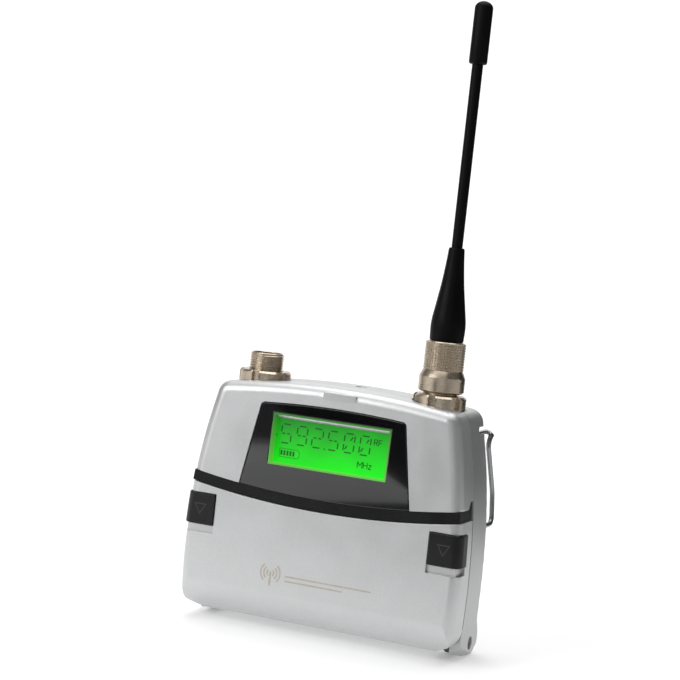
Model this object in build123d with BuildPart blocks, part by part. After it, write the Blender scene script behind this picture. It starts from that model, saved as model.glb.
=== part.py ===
"""Wireless bodypack transmitter: clamshell housing, hinged battery door and whip antenna."""
from build123d import *
from math import sqrt
import os

# ---------------------------------------------------------------- driving sizes (millimetres)
half_width = 29.8             # widest half-width of the housing, at belly_z
belly_z = 14.0
base_draft = 0.45             # the base is this much narrower on each side
waist_draft = 0.35            # and so is the waist, where the side starts to lean in
waist_z = 25.6
flank_draft = 2.85            # the leaning side runs straight from here
flank_z = 44.0
shoulder_z = 49.2             # top corners
crest_z = 51.0                # top of the arched upper edge
housing_base_z = 1.6          # underside of the housing, above the ear tips at z = 0
shell_depth = 16.8            # front datum plane to the back
front_bulge = 0.6             # how far the crowned front stands out of the datum plane
crown_radius = 465.0          # radius of the front's up-and-down curve
crown_z = 18.0                # height of the most forward line
base_corner_radius = 5.0      # housing outline, bottom corners
shoulder_radius = 3.0         # housing outline, top corners
front_edge_radius = 2.4
back_edge_radius = 0.8
underside_radius = 7.0        # roll from the front down to the underside
wall = 1.4                    # housing walls
seam_depth = 7.2              # front parts meet the rear housing here
seam_gap = 0.15
door_seam_gap = 0.45          # the seam is wider beside the door

band_side_z = 28.6            # lower edge of the band at the sides
band_mid_z = 26.1             # lower edge of the band in the middle
band_height = 2.15
band_recess = 0.35            # the band lies this far under the housing's surface
band_thickness = 2.2
band_corner_length = 2.8      # raised end of the band beside the seam
band_corner_rise = 1.4
band_corner_run = 1.2

window_top_half = 15.6        # half-width of the display window at its top
window_top_z = 46.3
window_arch = 0.65            # rise of the window's top edge
window_foot_half = 19.2       # half-width of the window's sides at the band's lowest edge
window_corner = 1.0
window_back_depth = 1.5
window_gap = 0.12
window_recess = 0.05
display_half_width = 12.7
display_half_height = 5.2
display_z = 39.3
bezel_line = 0.35

lcd_half_width = 14.0
lcd_half_height = 6.75
lcd_front_depth = 1.7
lcd_thickness = 1.0
backlight_thickness = 1.6
carrier_rim = 1.2
board_thickness = 0.8
display_board_half_width = 14.3
display_board_foot_z = 28.4
display_board_top_z = 46.4
main_board_depth = 13.1
main_board_inset = 5.8        # the main board stops this far inside the housing
main_board_foot_z = 27.4
main_board_top_z = 47.0
shield_half_width = 12.0
shield_foot_z = 31.0
shield_top_z = 45.0
shield_height = 2.5
shield_wall = 0.3
shield_corner_radius = 0.8
header_half_width = 7.0
header_top_z = 30.2

pin_depth = 13.6              # door hinge axis, behind the datum plane
pin_z = 2.8
pin_radius = 1.35
pin_length = 8.0
pin_chamfer = 0.2
pin_recess = 0.7              # outer end of a pin, inside the ear
barrel_radius = 2.1
hinge_clearance = 0.05
swing_gap = 0.4               # room round the door's barrel
ear_thickness = 2.2
ear_inset = 0.3               # outer face of an ear, inside the widest half-width
ear_front_z = 1.1             # lower edge of an ear beside the seam, at its inner face
ear_side_z = 2.9              # and at its outer face
ear_top_z = 8.5
ear_tip_front = 12.9          # depths of the ear's tip
ear_tip_back = 14.6
ear_bulge = 1.4               # the ears stand out behind the back by this much
ear_bulge_z = (2.2, 4.3)      # heights of the bulge's flat
ear_round = 0.6
ear_crease_z = 7.0            # the bulge starts here
hinge_block_thickness = 2.4
block_front_inset = 0.9       # hinge block behind the seam
block_back_inset = 0.6        # hinge block in front of the back
block_z = (0.2, 2.2, 2.4, 5.0, 5.2)   # heights of the hinge block's corners
corner_cut_x = 24.2           # the door's corner is cut off outside this line
corner_cut_z = (1.4, 4.1)     # heights of the cut at corner_cut_x and at the side
back_foot_z = 6.2             # lower edge of the back wall, above the door's barrel
door_wall = 1.2
door_lip_depth = 2.2
door_liner_depth = 1.7
door_liner_half_width = 21.5
door_liner_foot_z = 8.5
door_liner_top_z = 24.0

latch_width = 6.6             # from a latch's inner edge to the widest half-width
latch_top_z = 26.0
latch_height = 6.4
latch_travel = 1.5
latch_proud = 0.3             # the latches stand out of the door by this much
latch_skin = 0.85             # thickness of a latch's cap
latch_gap = 0.15
latch_reach = 3.6             # how far round the side a latch goes, behind the datum plane
latch_stem_inset = 3.9         # middle of a latch's stem, inside the widest half-width
latch_stem_width = 2.0
latch_stem_height = 3.0
slider_half_width = 1.9
slider_thickness = 0.8
slider_gap = 0.25
tongue_depth = 4.2
spring_wire = 0.24
spring_radius = 0.55
spring_length = 2.6
latch_spring_turns = 6
spring_bar_share = 0.4        # bar that joins the rings, as a share of the wire
spring_seat_height = 1.2

connector_inset = 10.7        # connector axes, inside the widest half-width
connector_depth = 8.6
socket_radius = 3.53          # crest of the thread
socket_shank_radius = 3.3     # below the thread
thread_gap = 0.1              # the thread starts this far above the ring nut
socket_bore_radius = 2.9
socket_foot_z = 41.0
socket_flange_radius = 4.2
socket_flange_height = 1.8
audio_socket_top_z = 55.6
antenna_socket_top_z = 56.0
insulator_top_z = 52.2
contact_radius = 0.35
contact_circle = 1.5
contact_foot_z = 39.5
contact_top_z = 54.6
ring_nut_radius = 5.3
ring_nut_top_z = 52.0
ring_seat_z = 49.3
ring_seat_radius = 5.6
ring_slots = 6
ring_slot_width = 1.4
ring_slot_depth = 0.75
ring_slot_turn = 30
boss_foot_z = 47.4
boss_radius = 5.8
socket_gap = 0.05

coupling_foot_z = 52.5
coupling_ring_radius = 4.6
coupling_ring_top_z = 55.8
coupling_grip_radius = 4.03
coupling_grip_foot_z = 56.9
coupling_top_z = 62.6
coupling_bore_top_z = 57.0
antenna_core_radius = 2.5
boot_foot_radius = 3.375
boot_bulge_radius = 3.475
boot_bulge_z = 66.1
boot_knee_radius = 2.975
boot_knee_z = 69.6
boot_tip_radius = 1.6
boot_tip_z = 81.3
whip_radius = 1.1
cap_radius = 1.825
cap_foot_z = 117.6
cap_top_z = 130.0
cap_rounding = 0.8            # rounding of the tip, as a share of its radius

cell_length = 44.5            # AAA cell
cell_radius = 5.2
cell_nub_radius = 1.9
cell_nub = 1.0
cell_x = -1.9                 # middle of the cells
cell_depth = 7.6
lower_cell_z = 8.7
cell_pitch = 10.8
cell_end_gap = 1.3
contact_plate = 0.35
cell_spring_wire = 0.35
cell_spring_radius = 2.2
cell_spring_taper = 1.5       # each ring is narrower by this many wires
cell_spring_pitch = 0.9       # bar that joins the rings, in wires
contact_plate_half = (2.5, 3.0)   # contact plate, front to back and up
tray_wall = 0.8
tray_front_depth = 4.9
tray_back_depth = 13.0
tray_top_z = 25.3
tray_foot_z = 5.6

control_inset = 4.8           # middle of the controls, inside the widest half-width
control_plate_half = (2.2, 2.8)   # plate's reach towards the middle and the side
control_foot_z = 5.2
control_top_z = 17.6
control_plate_depth = 5.5
control_plate_thickness = 1.0
button_radius = 1.25
button_front_depth = 4.7
button_flange = 0.35
button_gap = 0.08
power_button_z = 7.5
set_button_z = 11.0
rocker_z = 15.0
rocker_half_width = 1.3
rocker_half_height = 1.8
rocker_gap = 0.25
button_round = 0.3
plunger_radius = 0.6
plunger_rise = 0.2
switch_size = 2.6
switch_height = 1.2
switch_depth = 7.7            # front of the switches

clip_wire = 1.0               # wire diameter
clip_inset = 1.3              # clip arms inside the widest half-width
clip_arm = 2.5                # length of an arm that lies in its hole
clip_hole_radius = 0.65
clip_hole_z = 26.1
spare_hole_z = 45.4
clip_reach = 5.0              # back of the housing to the middle of the clip's lower run
clip_spread = 0.25            # the uprights start this much outside the holes' arms
clip_upright_z = 32.5
clip_pinch_z = 43.3
clip_pinch = 1.0              # back of the housing to the middle of the wire at the pinch
clip_pinch_inset = 2.6        # wire at the pinch, inside the widest half-width
clip_lip_z = 45.6
clip_lip_reach = 3.9
clip_bend_radii = (0.9, 1.7, 8.0, 2.5, 1.0, 1.0)   # from the hole to the top bar
clip_end_gap = 0.4            # arm stops short of its hole's end
clip_lip_inset = 2.0
clip_bar_inset = 5.2
clip_bar_z = 44.3
clip_bar_reach = 1.5
clip_pocket_rise = 0.8
clip_pocket_drop = 1.6
clip_pocket_gap = 0.15        # room beside the wire in its pocket
clip_block_inner = 1.2        # solid metal kept round each clip hole
clip_block_rim = 1.0
clip_block_depth = 12.0
spare_hole_inset = 2.4        # the spare holes start this much nearer the middle
seat_gap = 0.1                # between parts that sit on each other
part_gap = 0.3                # room between separate inner parts

screw_head_radius = 1.2
screw_head_height = 0.7
screw_radius = 0.7
screw_sink = 0.15
top_screw_x = 1.0
top_screw_depth = 11.8
rear_screw_inset = 8.3        # rear screws, inside the widest half-width
rear_screw_z = 33.5
rear_screw_length = 6.0
screw_boss_radius = 2.0
tab_thickness = 1.8
tab_half_width = 3.5
tab_gap = 0.15
tab_end = 1.1                 # tab behind the top screw's axis
screw_boss_front_depth = 0.6
boss_gap = 0.2
block_overlap = 0.2           # reach of an inner block into the wall it grows from
near = 0.05                   # how close counts as the same height

# ---------------------------------------------------------------- derived places
base_half_width = half_width - base_draft
waist_half_width = half_width - waist_draft
flank_half_width = half_width - flank_draft
ear_outer_x = half_width - ear_inset
ear_inner_x = ear_outer_x - ear_thickness
hinge_block_inner_x = ear_inner_x - hinge_block_thickness
barrel_half_length = hinge_block_inner_x - part_gap
pin_outer_x = ear_outer_x - pin_recess
block_front_depth = seam_depth + block_front_inset
block_back_depth = shell_depth - block_back_inset
pin_inner_x = pin_outer_x - pin_length
main_board_half_width = half_width - main_board_inset
latch_inner_x = half_width - latch_width
latch_stem_x = half_width - latch_stem_inset
connector_x = half_width - connector_inset
control_x = half_width - control_inset
control_inner_x = control_x - control_plate_half[0]
control_outer_x = control_x + control_plate_half[1]
clip_x = half_width - clip_inset
clip_hole_inner_x = clip_x - clip_arm
rear_screw_x = half_width - rear_screw_inset
front_y = -(shell_depth + clip_reach + clip_wire / 2 - front_bulge - latch_proud) / 2
back_y = front_y + shell_depth
pin_y = front_y + pin_depth
connector_y = front_y + connector_depth
cell_y = front_y + cell_depth
upper_cell_z = lower_cell_z + cell_pitch
latch_foot_z = latch_top_z - latch_height
latch_mid_z = latch_top_z - latch_height / 2
tray_inner_half = cell_length / 2 + cell_end_gap
wide = 80.0
above_all = 70.0
bevel = 0.4

os.makedirs("parts", exist_ok=True)


def save(part, name):
    """Label a finished piece and write its file."""
    part.label = name
    export_step(part, "parts/" + name + ".step")


def front_plane(depth):
    """Upright plane a distance behind the front datum; a negative extrude goes backwards."""
    return Plane.XZ.offset(-(front_y + depth))


def crown_y(z):
    """Y of the crowned front surface at height z."""
    return front_y - front_bulge + crown_radius - sqrt(crown_radius ** 2 - (z - crown_z) ** 2)


def envelope(inset=0.0, front_round=0.0, back_round=0.0):
    """The housing's outer form, shrunk all round by inset."""
    with BuildPart() as form:
        with BuildSketch(Plane.XZ) as outline:
            with BuildLine():
                foot = Line((0, housing_base_z), (base_half_width, housing_base_z))
                low_side = ThreePointArc(
                    foot @ 1, (half_width, belly_z), (waist_half_width, waist_z))
                flank = TangentArc(low_side @ 1, (flank_half_width, flank_z),
                                   tangent=low_side % 1)
                lean = flank % 1
                high_side = Line(flank @ 1, flank @ 1 + lean * ((shoulder_z - flank_z) / lean.Y))
                shoulder_x = (high_side @ 1).X
                ThreePointArc(high_side @ 1, (0, crest_z), (-shoulder_x, shoulder_z))
                mirror(high_side, about=Plane.YZ)
                mirror(flank, about=Plane.YZ)
                mirror(low_side, about=Plane.YZ)
                mirror(foot, about=Plane.YZ)
            make_face()
            foot_corners = outline.vertices().group_by(Axis.Y)[0]
            fillet(foot_corners.filter_by(lambda v: abs(v.X) > 1), base_corner_radius)
            shoulders = outline.vertices().filter_by(lambda v: abs(v.Y - shoulder_z) < near)
            fillet(shoulders, shoulder_radius)
            if inset:
                offset(amount=-inset, kind=Kind.ARC)
        extrude(amount=wide, both=True)
        with BuildSketch(Plane.YZ):
            with BuildLine():
                crown = ThreePointArc((crown_y(-5), -5), (crown_y(crown_z), crown_z),
                                      (crown_y(above_all), above_all))
                Polyline(crown @ 1, (back_y, above_all), (back_y, -5), crown @ 0)
            make_face()
            if inset:
                offset(amount=-inset, kind=Kind.ARC)
        extrude(amount=wide, both=True, mode=Mode.INTERSECT)
        if front_round:
            fillet(form.faces().sort_by(Axis.Y)[0].edges(), front_round)
        if back_round:
            fillet(form.faces().sort_by(Axis.Y)[-1].edges(), back_round)
        with BuildSketch(Plane.YZ) as roll:
            with Locations((crown_y(housing_base_z) - block_overlap + inset, housing_base_z + inset)):
                Rectangle(wide, above_all, align=(Align.MIN, Align.MIN))
            corner = roll.vertices().group_by(Axis.Y)[0].sort_by(Axis.X)[0]
            fillet(corner, underside_radius - inset)
        extrude(amount=wide, both=True, mode=Mode.INTERSECT)
    return form.part


def above_band(height):
    """All space above the band's lower edge raised by height."""
    with BuildPart() as space:
        with BuildSketch(Plane.XZ):
            with BuildLine():
                rise = (band_side_z - band_mid_z) * (wide / waist_half_width) ** 2 / 4
                edge = ThreePointArc((-wide / 2, band_mid_z + height + rise),
                                     (0, band_mid_z + height),
                                     (wide / 2, band_mid_z + height + rise))
                Polyline(edge @ 1, (wide / 2, above_all), (-wide / 2, above_all), edge @ 0)
            make_face()
        extrude(amount=wide, both=True)
    return space.part


def slab(x_range, depth_range, z_range):
    """Block between two sideways places, two depths and two heights."""
    with BuildPart() as block:
        with BuildSketch(front_plane(depth_range[0])):
            with Locations(((x_range[0] + x_range[1]) / 2, (z_range[0] + z_range[1]) / 2)):
                Rectangle(x_range[1] - x_range[0], z_range[1] - z_range[0])
        extrude(amount=-(depth_range[1] - depth_range[0]))
    return block.part


def side_prism(points, x_from, x_to):
    """Outline of (depth, height) points, extruded sideways from x_from to x_to."""
    with BuildPart() as prism:
        with BuildSketch(Plane.YZ.offset(x_from)):
            with BuildLine():
                Polyline(*[(front_y + depth, z) for depth, z in points], close=True)
            make_face()
        extrude(amount=x_to - x_from)
    return prism.part


def side_rod(x_from, x_to, depth, z, radius):
    """Round bar lying along X."""
    with BuildPart() as rod:
        with BuildSketch(Plane.YZ.offset(x_from)):
            with Locations((front_y + depth, z)):
                Circle(radius)
        extrude(amount=x_to - x_from)
    return rod.part


def front_rod(x, z, depth_from, depth_to, radius):
    """Round bar lying along Y."""
    with BuildPart() as rod:
        with BuildSketch(front_plane(depth_from)):
            with Locations((x, z)):
                Circle(radius)
        extrude(amount=-(depth_to - depth_from))
    return rod.part


def post(x, y, z_from, z_to, radius, bore=0.0):
    """Upright bar or tube."""
    with BuildPart() as bar:
        with BuildSketch(Plane.XY.offset(z_from)):
            with Locations((x, y)):
                Circle(radius)
                if bore:
                    Circle(bore, mode=Mode.SUBTRACT)
        extrude(amount=z_to - z_from)
    return bar.part


def window_space(gap):
    """The window's trapezoid through the housing's front, shrunk by gap."""
    with BuildPart() as space:
        with BuildSketch(front_plane(window_back_depth)) as face:
            with BuildLine():
                side = Line((window_foot_half, band_mid_z - 1), (window_top_half, window_top_z))
                ThreePointArc(side @ 1, (0, window_top_z + window_arch),
                              (-window_top_half, window_top_z))
                Polyline((-window_top_half, window_top_z), (-window_foot_half, band_mid_z - 1),
                         side @ 0)
            make_face()
            fillet(face.vertices().group_by(Axis.Y)[-1], window_corner)
            if gap:
                offset(amount=-gap, kind=Kind.ARC)
        extrude(amount=wide / 2)
    return space.part


def framed_slab(half_width, half_height, depth_from, depth_to, rim):
    """Rectangular frame round the display's centre, rim wide, outside the given half sizes."""
    with BuildPart() as frame:
        with BuildSketch(front_plane(depth_from)):
            with Locations((0, display_z)):
                Rectangle(2 * (half_width + rim), 2 * (half_height + rim))
                Rectangle(2 * half_width, 2 * half_height, mode=Mode.SUBTRACT)
        extrude(amount=-(depth_to - depth_from))
    return frame.part


def band_corner(growth):
    """The raised ends of the band beside the seam, on both sides."""
    top = band_side_z + band_height
    start = seam_depth - band_corner_length
    outline = [(start - growth, top - 1), (start - growth, top),
               (start + band_corner_run, top + band_corner_rise + growth),
               (seam_depth + 1, top + band_corner_rise + growth), (seam_depth + 1, top - 1)]
    return side_prism(outline, -wide / 2, wide / 2)


outer = envelope(0, front_edge_radius, back_edge_radius)
inner = envelope(wall)
door_inner = envelope(door_wall)
in_front = slab((-wide, wide), (-wide, seam_depth), (-wide, above_all + wide))
before_door_seam = slab((-wide, wide), (-wide, seam_depth + seam_gap - door_seam_gap),
                        (-wide, above_all + wide))
behind = slab((-wide, wide), (seam_depth + seam_gap, wide), (-wide, above_all + wide))
connectors = [(-connector_x, connector_y), (connector_x, connector_y)]

# ---------------------------------------------------------------- rear housing
rear_start = seam_depth + seam_gap
ear_profile = [(rear_start, ear_top_z), (rear_start, ear_front_z),
               (ear_tip_front, 0), (ear_tip_back, 0),
               (shell_depth + ear_bulge, ear_bulge_z[0]), (shell_depth + ear_bulge, ear_bulge_z[1]),
               (shell_depth, ear_crease_z), (shell_depth, ear_top_z)]
ear_rise = (ear_side_z - ear_front_z) / (ear_tip_front - rear_start)
ear_slant = (ear_side_z - ear_front_z) / ear_thickness
clip_holes = [(clip_hole_inner_x, clip_hole_z), (clip_hole_inner_x - spare_hole_inset, spare_hole_z)]
screw_spots = [(-rear_screw_x, rear_screw_z), (rear_screw_x, rear_screw_z)]

with BuildPart() as ear:
    add(side_prism(ear_profile, ear_inner_x, ear_outer_x))
    split(bisect_by=Plane((ear_outer_x, front_y + rear_start, ear_side_z),
                          z_dir=(-ear_slant, ear_rise, 1)), keep=Keep.TOP)
    fillet(ear.edges().filter_by(lambda e: e.center().Z > near
                                 and abs(e.center().Z - ear_bulge_z[0]) < near
                                 or abs(e.center().Z - ear_bulge_z[1]) < near), ear_round)

with BuildPart() as rear_housing:
    add(outer)
    add(inner, mode=Mode.SUBTRACT)
    for x, y in connectors:
        add(post(x, y, boss_foot_z, crest_z, boss_radius))
    for hole_x, hole_z in clip_holes:
        for side in (-1, 1):
            block = sorted((side * (hole_x - clip_block_inner), side * (hole_x + 3.0)))
            add(slab(block, (clip_block_depth, shell_depth - wall + block_overlap),
                     (hole_z - clip_pocket_drop - clip_block_rim,
                      hole_z + clip_pocket_rise + clip_block_rim)))
    add(outer, mode=Mode.INTERSECT)
    add(behind, mode=Mode.INTERSECT)
    add(slab((-ear_inner_x, ear_inner_x), (0, wide), (-1, back_foot_z)), mode=Mode.SUBTRACT)
    add(slab((-wide, wide), (0, wide), (-1, ear_crease_z - 0.5)) - slab(
        (-ear_inner_x, ear_inner_x), (-1, wide), (-2, above_all)), mode=Mode.SUBTRACT)
    add(ear.part)
    add(ear.part.mirror(Plane.YZ))
    for x, y in connectors:
        add(post(x, y, ring_seat_z, above_all, ring_seat_radius), mode=Mode.SUBTRACT)
        add(post(x, y, socket_foot_z, above_all, socket_radius + socket_gap), mode=Mode.SUBTRACT)
    add(side_rod(-wide, wide, pin_depth, pin_z, pin_radius), mode=Mode.SUBTRACT)
    for hole_x, hole_z in clip_holes:
        pocket_x = hole_x + clip_arm - clip_wire / 2 - clip_pocket_gap
        pocket_end_x = pocket_x + clip_wire + 2 * clip_pocket_gap
        for side in (-1, 1):
            add(slab(sorted((side * pocket_x, side * pocket_end_x)),
                     (pin_depth - clip_wire / 2 - part_gap, wide),
                     (hole_z - clip_pocket_drop, hole_z + clip_pocket_rise)), mode=Mode.SUBTRACT)
            bore_end = pocket_end_x if hole_z == clip_hole_z else wide
            ends = sorted((side * hole_x, side * bore_end))
            add(side_rod(*ends, pin_depth, hole_z, clip_hole_radius), mode=Mode.SUBTRACT)
    for x, z in screw_spots:
        add(front_rod(x, z, shell_depth - screw_head_height - screw_sink, shell_depth + 1,
                      screw_head_radius), mode=Mode.SUBTRACT)
        add(front_rod(x, z, seam_depth, shell_depth, screw_radius), mode=Mode.SUBTRACT)
    screw_y = front_y + top_screw_depth
    add(post(top_screw_x, screw_y, crest_z - screw_head_height - screw_sink, above_all,
             screw_head_radius), mode=Mode.SUBTRACT)
    add(post(top_screw_x, screw_y, boss_foot_z, above_all, screw_radius), mode=Mode.SUBTRACT)
save(rear_housing.part, "rear_housing")

with BuildPart() as rear_screws:
    for x, z in screw_spots:
        add(front_rod(x, z, shell_depth - screw_head_height - screw_sink,
                      shell_depth - screw_sink, screw_head_radius))
        add(front_rod(x, z, shell_depth - rear_screw_length, shell_depth - screw_sink,
                      screw_radius))
save(rear_screws.part, "rear_screws")

with BuildPart() as top_screw:
    head_z = crest_z - screw_head_height - screw_sink
    add(post(top_screw_x, screw_y, head_z, crest_z - screw_sink, screw_head_radius))
    add(post(top_screw_x, screw_y, boss_foot_z - 1, head_z, screw_radius))
save(top_screw.part, "top_screw")

# ---------------------------------------------------------------- front cover and seal band
cover_foot = band_height + seat_gap
with BuildPart() as front_cover:
    add(outer)
    add(inner, mode=Mode.SUBTRACT)
    for x, y in connectors:
        add(post(x, y, boss_foot_z, crest_z, boss_radius))
    add(outer, mode=Mode.INTERSECT)
    add(in_front, mode=Mode.INTERSECT)
    add(above_band(cover_foot), mode=Mode.INTERSECT)
    add(window_space(0), mode=Mode.SUBTRACT)
    add(band_corner(seat_gap), mode=Mode.SUBTRACT)
    tab_top = crest_z - wall - tab_gap
    add(slab((top_screw_x - tab_half_width, top_screw_x + tab_half_width), (wall - 1, seam_depth - 0.5),
             (tab_top - tab_thickness, tab_top + 0.5)))
    add(slab((top_screw_x - tab_half_width, top_screw_x + tab_half_width),
                     (wall, top_screw_depth + tab_end),
             (tab_top - tab_thickness, tab_top)))
    for x, z in screw_spots:
        add(front_rod(x, z, screw_boss_front_depth, shell_depth - wall,
                      screw_boss_radius))
        add(front_rod(x, z, shell_depth - rear_screw_length, shell_depth, screw_radius),
            mode=Mode.SUBTRACT)
    for x, y in connectors:
        add(post(x, y, ring_seat_z, above_all, ring_seat_radius), mode=Mode.SUBTRACT)
        add(post(x, y, socket_foot_z, above_all, socket_radius + socket_gap), mode=Mode.SUBTRACT)
    add(post(top_screw_x, screw_y, boss_foot_z - 1, above_all, screw_radius), mode=Mode.SUBTRACT)
save(front_cover.part, "front_cover")

with BuildPart() as seal_band:
    add(envelope(band_recess))
    add(envelope(band_recess + band_thickness), mode=Mode.SUBTRACT)
    add(in_front, mode=Mode.INTERSECT)
    add(above_band(0), mode=Mode.INTERSECT)
    add(above_band(band_height) - band_corner(0), mode=Mode.SUBTRACT)
    add(above_band(band_height + band_corner_rise + 1), mode=Mode.SUBTRACT)
save(seal_band.part, "seal_band")

# ---------------------------------------------------------------- display
with BuildPart() as display_window:
    add(envelope(window_recess))
    add(window_space(window_gap), mode=Mode.INTERSECT)
    add(above_band(band_height + seat_gap), mode=Mode.INTERSECT)
    add(slab((-display_half_width, display_half_width), (-wide, wide),
             (display_z - display_half_height, display_z + display_half_height)),
        mode=Mode.SUBTRACT)
save(display_window.part, "display_window")

with BuildPart() as lcd_bezel:
    add(framed_slab(display_half_width - bezel_line, display_half_height - bezel_line,
                    -wall, window_back_depth, bezel_line))
    add(envelope(window_recess), mode=Mode.INTERSECT)
save(lcd_bezel.part, "lcd_bezel")

lcd_x = (-lcd_half_width, lcd_half_width)
lcd_z = (display_z - lcd_half_height, display_z + lcd_half_height)
backlight_depth = lcd_front_depth + lcd_thickness
display_board_depth = backlight_depth + backlight_thickness
with BuildPart() as lcd_glass:
    add(slab(lcd_x, (lcd_front_depth, backlight_depth), lcd_z))
save(lcd_glass.part, "lcd_glass")

with BuildPart() as backlight:
    add(slab(lcd_x, (backlight_depth, display_board_depth), lcd_z))
save(backlight.part, "backlight")

with BuildPart() as display_carrier:
    add(framed_slab(lcd_half_width + seat_gap, lcd_half_height + seat_gap,
                         lcd_front_depth + seat_gap,
                    display_board_depth, carrier_rim))
save(display_carrier.part, "display_carrier")

with BuildPart() as display_board:
    add(slab((-display_board_half_width, display_board_half_width),
             (display_board_depth, display_board_depth + board_thickness),
             (display_board_foot_z, display_board_top_z)))
save(display_board.part, "display_board")

# ---------------------------------------------------------------- main board
header_depths = (display_board_depth + board_thickness, main_board_depth)
with BuildPart() as board_header:
    add(slab((-header_half_width, header_half_width), header_depths,
             (display_board_foot_z, header_top_z)))
save(board_header.part, "board_header")

with BuildPart() as main_board:
    add(slab((-main_board_half_width, main_board_half_width),
             (main_board_depth, main_board_depth + board_thickness),
             (main_board_foot_z, main_board_top_z)))
    for x, z in screw_spots:
        add(front_rod(x, z, seam_depth, shell_depth, screw_boss_radius + boss_gap),
            mode=Mode.SUBTRACT)
    notch_x = clip_hole_inner_x - spare_hole_inset - clip_block_inner - part_gap
    for side in (-1, 1):
        add(slab(sorted((side * notch_x, side * wide)), (seam_depth, shell_depth),
                 (spare_hole_z - clip_pocket_drop - clip_block_rim - part_gap, above_all)),
            mode=Mode.SUBTRACT)
save(main_board.part, "main_board")

with BuildPart() as rf_shield:
    add(slab((-shield_half_width, shield_half_width),
             (main_board_depth - shield_height, main_board_depth), (shield_foot_z, shield_top_z)))
    fillet(rf_shield.edges().filter_by(Axis.Y), shield_corner_radius)
    offset(amount=-shield_wall, openings=rf_shield.faces().sort_by(Axis.Y)[-1])
save(rf_shield.part, "rf_shield")

# ---------------------------------------------------------------- connectors
def socket_body(x, top_z):
    """Threaded socket with the flange that sits under the housing's boss."""
    with BuildPart() as body:
        add(post(x, connector_y, socket_foot_z, top_z, socket_shank_radius, socket_bore_radius))
        add(post(x, connector_y, ring_nut_top_z + thread_gap, top_z, socket_radius,
                 socket_bore_radius))
        add(post(x, connector_y, boss_foot_z - socket_flange_height, boss_foot_z,
                 socket_flange_radius, socket_bore_radius))
    return body.part


def ring_nut(x):
    """Spanner nut that clamps a socket from outside."""
    with BuildPart() as nut:
        add(post(x, connector_y, ring_seat_z, ring_nut_top_z, ring_nut_radius,
                 socket_radius + socket_gap))
        rim = nut.edges().filter_by(GeomType.CIRCLE).group_by(Axis.Z)[-1].sort_by(SortBy.RADIUS)
        chamfer(rim[-1], bevel)
        with BuildSketch(Plane.XY.offset(ring_seat_z + 0.5)):
            with Locations((x, connector_y)):
                with PolarLocations(ring_nut_radius, ring_slots, start_angle=ring_slot_turn):
                    Rectangle(2 * ring_slot_depth, ring_slot_width)
        extrude(amount=ring_nut_top_z, mode=Mode.SUBTRACT)
    return nut.part


def contact_ring(x, top_z, radius, count, circle):
    """Contacts on a circle, or a single one on the axis."""
    with BuildPart() as pins:
        with BuildSketch(Plane.XY.offset(contact_foot_z)):
            with Locations((x, connector_y)):
                if count > 1:
                    with PolarLocations(circle, count):
                        Circle(radius)
                else:
                    Circle(radius)
        extrude(amount=top_z - contact_foot_z)
    return pins.part


for name, x, socket_top, plug_top, radius, count in (
        ("audio", -connector_x, audio_socket_top_z, contact_top_z, contact_radius, 3),
        ("antenna", connector_x, antenna_socket_top_z, antenna_socket_top_z + 0.5, 0.5, 1)):
    save(socket_body(x, socket_top), name + "_socket_body")
    save(ring_nut(x), name + "_ring_nut")
    contacts = contact_ring(x, plug_top, radius, count, contact_circle)
    with BuildPart() as insulator:
        add(post(x, connector_y, socket_foot_z, insulator_top_z, socket_bore_radius))
        add(contacts, mode=Mode.SUBTRACT)
    save(insulator.part, name + "_insulator")
    save(contacts, name + "_contacts")

# ---------------------------------------------------------------- antenna
axis_plane = Plane((connector_x, connector_y, 0), x_dir=(1, 0, 0), z_dir=(0, -1, 0))
antenna_axis = Axis((connector_x, connector_y, 0), (0, 0, 1))

with BuildPart() as antenna_coupling:
    bore = socket_radius + socket_gap
    with BuildSketch(axis_plane):
        with BuildLine():
            Polyline((bore, coupling_foot_z), (coupling_ring_radius - bevel, coupling_foot_z),
                     (coupling_ring_radius, coupling_foot_z + bevel),
                     (coupling_ring_radius, coupling_ring_top_z),
                     (coupling_grip_radius, coupling_grip_foot_z),
                     (coupling_grip_radius, coupling_top_z),
                     (antenna_core_radius + socket_gap, coupling_top_z),
                     (antenna_core_radius + socket_gap, coupling_bore_top_z),
                     (bore, coupling_bore_top_z), close=True)
        make_face()
    revolve(axis=antenna_axis)
save(antenna_coupling.part, "antenna_coupling")

with BuildPart() as antenna_boot:
    boot_foot_z = coupling_top_z + seat_gap
    with BuildSketch(axis_plane):
        with BuildLine():
            Polyline((0, boot_tip_z), (0, coupling_bore_top_z), (antenna_core_radius,
                     coupling_bore_top_z), (antenna_core_radius, boot_foot_z),
                     (boot_foot_radius, boot_foot_z))
            Spline((boot_foot_radius, boot_foot_z), (boot_bulge_radius, boot_bulge_z),
                   (boot_knee_radius, boot_knee_z), (boot_tip_radius, boot_tip_z))
            Line((boot_tip_radius, boot_tip_z), (0, boot_tip_z))
        make_face()
    revolve(axis=antenna_axis)
save(antenna_boot.part, "antenna_boot")

with BuildPart() as antenna_whip:
    add(post(connector_x, connector_y, boot_tip_z, cap_foot_z, whip_radius))
save(antenna_whip.part, "antenna_whip")

with BuildPart() as antenna_tip_cap:
    add(post(connector_x, connector_y, cap_foot_z, cap_top_z, cap_radius))
    cap_edges = antenna_tip_cap.edges().filter_by(GeomType.CIRCLE)
    fillet(cap_edges.group_by(Axis.Z)[-1], cap_radius * cap_rounding)
    fillet(cap_edges.group_by(Axis.Z)[0], 0.5)
save(antenna_tip_cap.part, "antenna_tip_cap")

# ---------------------------------------------------------------- battery space
tray_left = cell_x - tray_inner_half
tray_right = cell_x + tray_inner_half

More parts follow.
